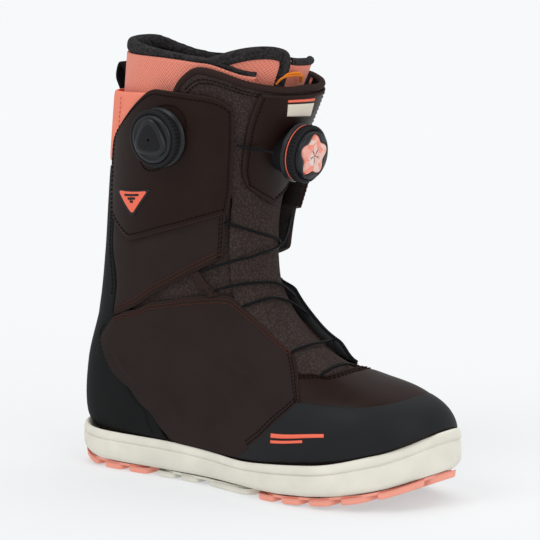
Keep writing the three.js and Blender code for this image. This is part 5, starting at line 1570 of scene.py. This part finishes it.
def build_dial(name, base_body, knob_body, star):
    place = DialPlace(f"{name}_turn")
    put = lambda part, shape, body, look, nodes=(), slot=None: piece(
        f"{name}_{part}", place.put(shape[0]), shape[1], body, look, uv=shape[2], nodes=nodes, slot=slot)

    put("flange", turned([(0.5, 0), (BASE_RADIUS + 2.8, 0), (BASE_RADIUS + 2.9, 0.5), (BASE_RADIUS + 2.2, 1.5),
                          (BASE_RADIUS + 1.0, 2.2), (BASE_RADIUS, BASE_HEIGHT), (0.5, BASE_HEIGHT)]),
        base_body, "dial_plastic", nodes=[f"{name}_base"])

    ribs = 44
    floor = BASE_HEIGHT + DIAL_GAP
    low, high = floor + 0.7, KNOB_TOP - 2.0

    def knurl(a, r, z):
        middle = np.clip((z - low) / 1.2, 0, 1) * np.clip((high - z) / 1.2, 0, 1)
        wave = np.abs(np.cos(a * ribs / 2)) ** 0.7
        return r + (wave - 0.55) * 0.95 * middle * (r > KNOB_RADIUS - 1)

    rim = [(KNOB_RADIUS - 0.6, low - 0.2), (KNOB_RADIUS + 0.1, low)]
    rim += [(KNOB_RADIUS + 0.45, z) for z in np.linspace(low + 0.5, high - 0.5, 7)]
    rim += [(KNOB_RADIUS + 0.1, high), (KNOB_RADIUS - 0.7, high + 0.35), (KNOB_RADIUS - 2.4, high + 0.3),
            (KNOB_RADIUS - 2.4, low - 0.2), (KNOB_RADIUS - 0.6, low - 0.2)]
    put("grip_ring", turned(rim, 352, knurl), knob_body, "dial_grip", nodes=[f"{name}_grip"])

    profile = lambda stops: [(KNOB_RADIUS + r, KNOB_TOP + z) for r, z in stops]
    body = [(0.5, KNOB_TOP - CUP_ROOF), (KNOB_RADIUS - 4.2, KNOB_TOP - CUP_ROOF), (KNOB_RADIUS - 4.2, floor),
            (KNOB_RADIUS - 2.6, floor)]
    body += profile([(-2.5, -2.0), (-2.9, -1.0), (-3.8, -0.35), (-5.0, -0.15), (-5.6, -0.6), (-6.4, -0.7)])
    body.append((0.5, KNOB_TOP - 0.7))
    put("cup", turned(body, 128), knob_body, "dial_plastic", nodes=[f"{name}_knob"])

    size = KNOB_RADIUS - 5.0
    steps = [(1.0, KNOB_TOP - 0.65), (1.0, KNOB_TOP + 0.9), (0.97, KNOB_TOP + 1.4), (0.92, KNOB_TOP + 1.7),
             (0.80, KNOB_TOP + 1.85), (0.45, KNOB_TOP + 1.75), (0.05, KNOB_TOP + 1.7)]
    if not star:
        put("centre", turned([(s, z) for s, z in steps], 144, lambda a, r, z: trefoil(size * r, a)),
            knob_body, "dial_plastic", nodes=[f"{name}_cap"])
        arm = [(1.0, KNOB_TOP + 1.4), (1.0, KNOB_TOP + 2.05), (0.96, KNOB_TOP + 2.2), (0.1, KNOB_TOP + 2.2)]
        put("centre_inlay", turned(arm, 144, lambda a, r, z: trefoil(size * 0.74 * r, a)),
            knob_body, "dial_grip", slot="dial_grip")
        return

    petals = lambda a, r, z: (size + 1.4) * r * (0.90 + 0.13 * np.cos(5 * (a - math.pi / 2)))
    above = lambda stops: [(share, KNOB_TOP + z) for share, z in stops]
    put("inlay", turned(above([(0.95, -0.6), (0.95, 0.1), (0.88, 0.3), (0.05, 0.3)]), 144, petals),
        knob_body, "coral_badge", slot="coral_trim")
    put("window", turned(above([(0.90, 0.4), (0.90, 1.3), (0.84, 1.9), (0.76, 2.1), (0.05, 2.1)]), 144, petals),
        knob_body, "clear_plastic", nodes=[f"{name}_cap"])
    rim = above([(1.06, -0.6), (1.06, 1.0), (1.0, 1.3), (0.95, 1.1), (0.95, -0.6), (1.06, -0.6)])
    frame_edge = lambda a, r, z: petals(a, r, z) if r < 1.05 else np.full(a.shape, size + 2.3)
    put("rim", turned(rim, 144, frame_edge), knob_body, "dial_plastic")
    ring = [(0.2, 0.3), (0.5, 0.7), (0.2, 1.1), (-1.5, 1.1), (-1.5, 0.3), (0.2, 0.3)]
    put("ring", turned([(KNOB_RADIUS + r, BASE_HEIGHT + z) for r, z in ring], 128), knob_body, "coral_badge",
        slot="coral_trim")


def build_dial_wedge():
    """Moulded wedge between the tongue and its dial."""
    seat = DialPlace("tongue_dial_turn")
    slope = math.radians(17.3)
    a = np.arange(96) * 2 * math.pi / 96
    rings = []
    for share, more in ((0.0, -3.0), (0.1, -2.7), (0.5, -1.6), (0.8, 0.2), (0.9, 0.9), (1.0, 0.8)):
        x, y = (BASE_RADIUS + more) * np.cos(a), (BASE_RADIUS + more) * np.sin(a)
        foot = -9.4 / math.cos(slope) + y * math.tan(slope) - (x / BASE_RADIUS) ** 2 * 3.2
        rings.append(np.stack([x, y, foot * (1 - share) - 0.35 * share], axis=1))
    points = np.concatenate(rings)
    faces = grid_faces(len(rings), 96, around=True)
    faces += [tuple(range(96))[::-1], tuple(range(len(points) - 96, len(points)))]
    piece("tongue_dial_wedge", seat.put(points), faces, "tongue", "black_rubber", nodes=["tongue_dial_mount"],
          uv=points[:, :2] * MM)


# ------------------------------------------------------------------ laces and guides

LACE_RADIUS = 0.9
TRACK_RISE = 7.2
ON_PANEL = PANEL_OUT + LACE_RADIUS + 0.6
OVER_LACE = ON_PANEL + 2 * LACE_RADIUS + 1.6
ON_FLAP = FLAP_OUT + LACE_RADIUS + 0.5
UNDER_PANEL = PANEL_OUT - 1.5
LACES = {
    "lace_tongue_outer": ("tongue", [
        (13.95, 44, ON_FLAP), (13.72, 35.5, ON_FLAP + 1), (13.54, 27.2, ON_FLAP + 3.2), (13.42, 20, ON_FLAP + 6.7)]),
    "lace_tongue_inner": ("tongue", [
        (13.95, -44, ON_FLAP), (13.72, -35.5, ON_FLAP + 1), (13.54, -27.2, ON_FLAP + 3.2),
        (13.42, -20, ON_FLAP + 6.7)]),
    "lace_ankle_high": (None, [
        (10.85, 41, UNDER_PANEL), (10.7, 37, ON_PANEL), (9.78, 15, ON_PANEL), (9.3, -12, ON_PANEL),
        (9.2, -24, UNDER_PANEL)]),
    "lace_ankle_mid": (None, [
        (9.96, 57, UNDER_PANEL), (9.8, 52, ON_PANEL - 1), (9.4, 37, ON_PANEL + 0.6), (8.97, 16, OVER_LACE - 2),
        (9.17, -12, OVER_LACE - 1), (10.7, -37, ON_PANEL + 7)]),
    "lace_ankle_low": (None, [
        (9.0, 50, UNDER_PANEL), (8.9, 46, ON_PANEL - 0.6), (8.4, 30, ON_PANEL), (7.8, 0, ON_PANEL + 0.6),
        (7.6, -28, ON_PANEL + 3)]),
    "lace_instep_high": ("lower", [
        (7.85, 35, UNDER_PANEL), (7.72, 29.7, ON_PANEL - 0.6), (7.44, 12, ON_PANEL), (7.2, -5, ON_PANEL),
        (6.9, -27, ON_PANEL + 4)]),
    "lace_instep_mid": ("lower", [
        (5.85, 26, UNDER_PANEL), (5.78, 19.5, ON_PANEL - 0.6), (5.66, 4, ON_PANEL), (5.66, -10, ON_PANEL + 0.5),
        (5.8, -27, ON_PANEL + 5)]),
    "lace_instep_low": ("lower", [
        (4.85, 31, UNDER_PANEL - 0.6), (4.74, 25, ON_PANEL - 1.2), (4.68, 14, ON_PANEL - 0.4),
        (4.62, 2, ON_PANEL - 0.6), (4.8, -9, UNDER_PANEL - 0.6)]),
}


def build_laces():
    for name, (body, stops) in LACES.items():
        path = spline([skin(np.array(float(s)), np.array(float(t)), h) for s, t, h in stops], count=120)
        points, faces, uv = swept(path, circle(LACE_RADIUS, 12))
        piece(f"{name}_cord", points, faces, body, "lace", nodes=[name], uv=uv, blend=None if body else ANKLE_BEND)


def build_guides():
    """Stitched webbing on the outer side of the ankle, and the moulded track on the inner side."""
    guide = Panel(outer=PANEL_OUT + 1.9, wall=1.4, top=through([(10.1, 62), (9.98, 57.5)]),
                  bottom=through([(8.95, 52.5), (8.72, 46.5)]))
    bow = lambda s, t, near: -2.6 * np.clip(1 - (s - 8.5) / 0.5, 0, 1) - 1.4 * np.clip((s - 9.6) / 0.4, 0, 1)
    guide.mesh("ankle_guide_webbing", None, "brown_cloth", cell=0.8, reach=0.6, relief=bow, nodes=["ankle_guide"],
               blend=ANKLE_BEND)
    for where in ("left", "right"):
        stitch(guide.row(where, 1.4, 0.6, 0.92), "lower", "black_thread", PANEL_OUT + 2.0)

    track_top = through([(8.6, -39), (8.1, -35), (6.8, -28.5), (5.97, -27.5), (4.9, -27.5)])
    track_foot = through([(8.6, -46), (8.1, -43), (6.8, -36.5), (5.97, -36), (5.0, -38)])
    track = Panel(outer=PANEL_OUT + 2.2, wall=1.6, top=track_top, bottom=track_foot)
    u = np.linspace(0, 1, 200)
    rise_at = TRACK_RISE * smooth(u, 0, 0.2) * (1 - smooth(u, 0.8, 1))
    upper, lower = track_top(u), track_foot(u)

    def rise(s, t, near):
        """The track stands up along the tongue and lies down on the quarter."""
        gaps = [np.interp(s, edge[::-1, 0], edge[::-1, 1]) for edge in (upper, lower)]
        down = np.clip((gaps[0] - t) / (gaps[0] - gaps[1]), 0, 1)
        return np.interp(s, upper[::-1, 0], rise_at[::-1]) * (1 - down)

    track.mesh("guide_track_plastic", "lower", "black_rubber", cell=1.2, reach=0.7, relief=rise,
               nodes=["guide_track"])
    for name, off, radius in (("edge", 0.0, 1.3), ("cord", 3.4, 0.7)):
        s, t = track.row("top", 0.6 + off)
        lift = PANEL_OUT + 1.6 + rise(s, t, None)
        piping(f"guide_track_{name}", (s, t), "lower", "binding", radius=radius, lift=lift)


def dress_hidden_nodes():
    """The pieces that stay as the CAD made them, inside the boot and its dials."""
    for name, look in (("lasting_board", "board"), ("footbed", "foam"), ("shaft_dial_spool", "dial_plastic"),
                       ("tongue_dial_spool", "dial_plastic")):
        mesh = frame["nodes"][name].data
        for i in range(len(mesh.materials)):
            mesh.materials[i] = LOOKS[look]


# ------------------------------------------------------------------ the boot

add_camera()
add_studio()
build_midsole()
build_tread()
build_inner_layers()
build_quarters()
build_toe_and_heel()
build_toe_mark()
build_shaft()
build_rear_collar()
build_heel_loop()
build_liner()
build_liner_tongue()
build_flaps()
build_flap_badge()
build_tongue()
build_tongue_badge()
build_dial("shaft_dial", "outer_flap", "shaft_dial_knob", star=False)
build_dial("tongue_dial", "tongue", "tongue_dial_knob", star=True)
build_dial_wedge()
build_laces()
build_guides()
sew_all()
dress_hidden_nodes()
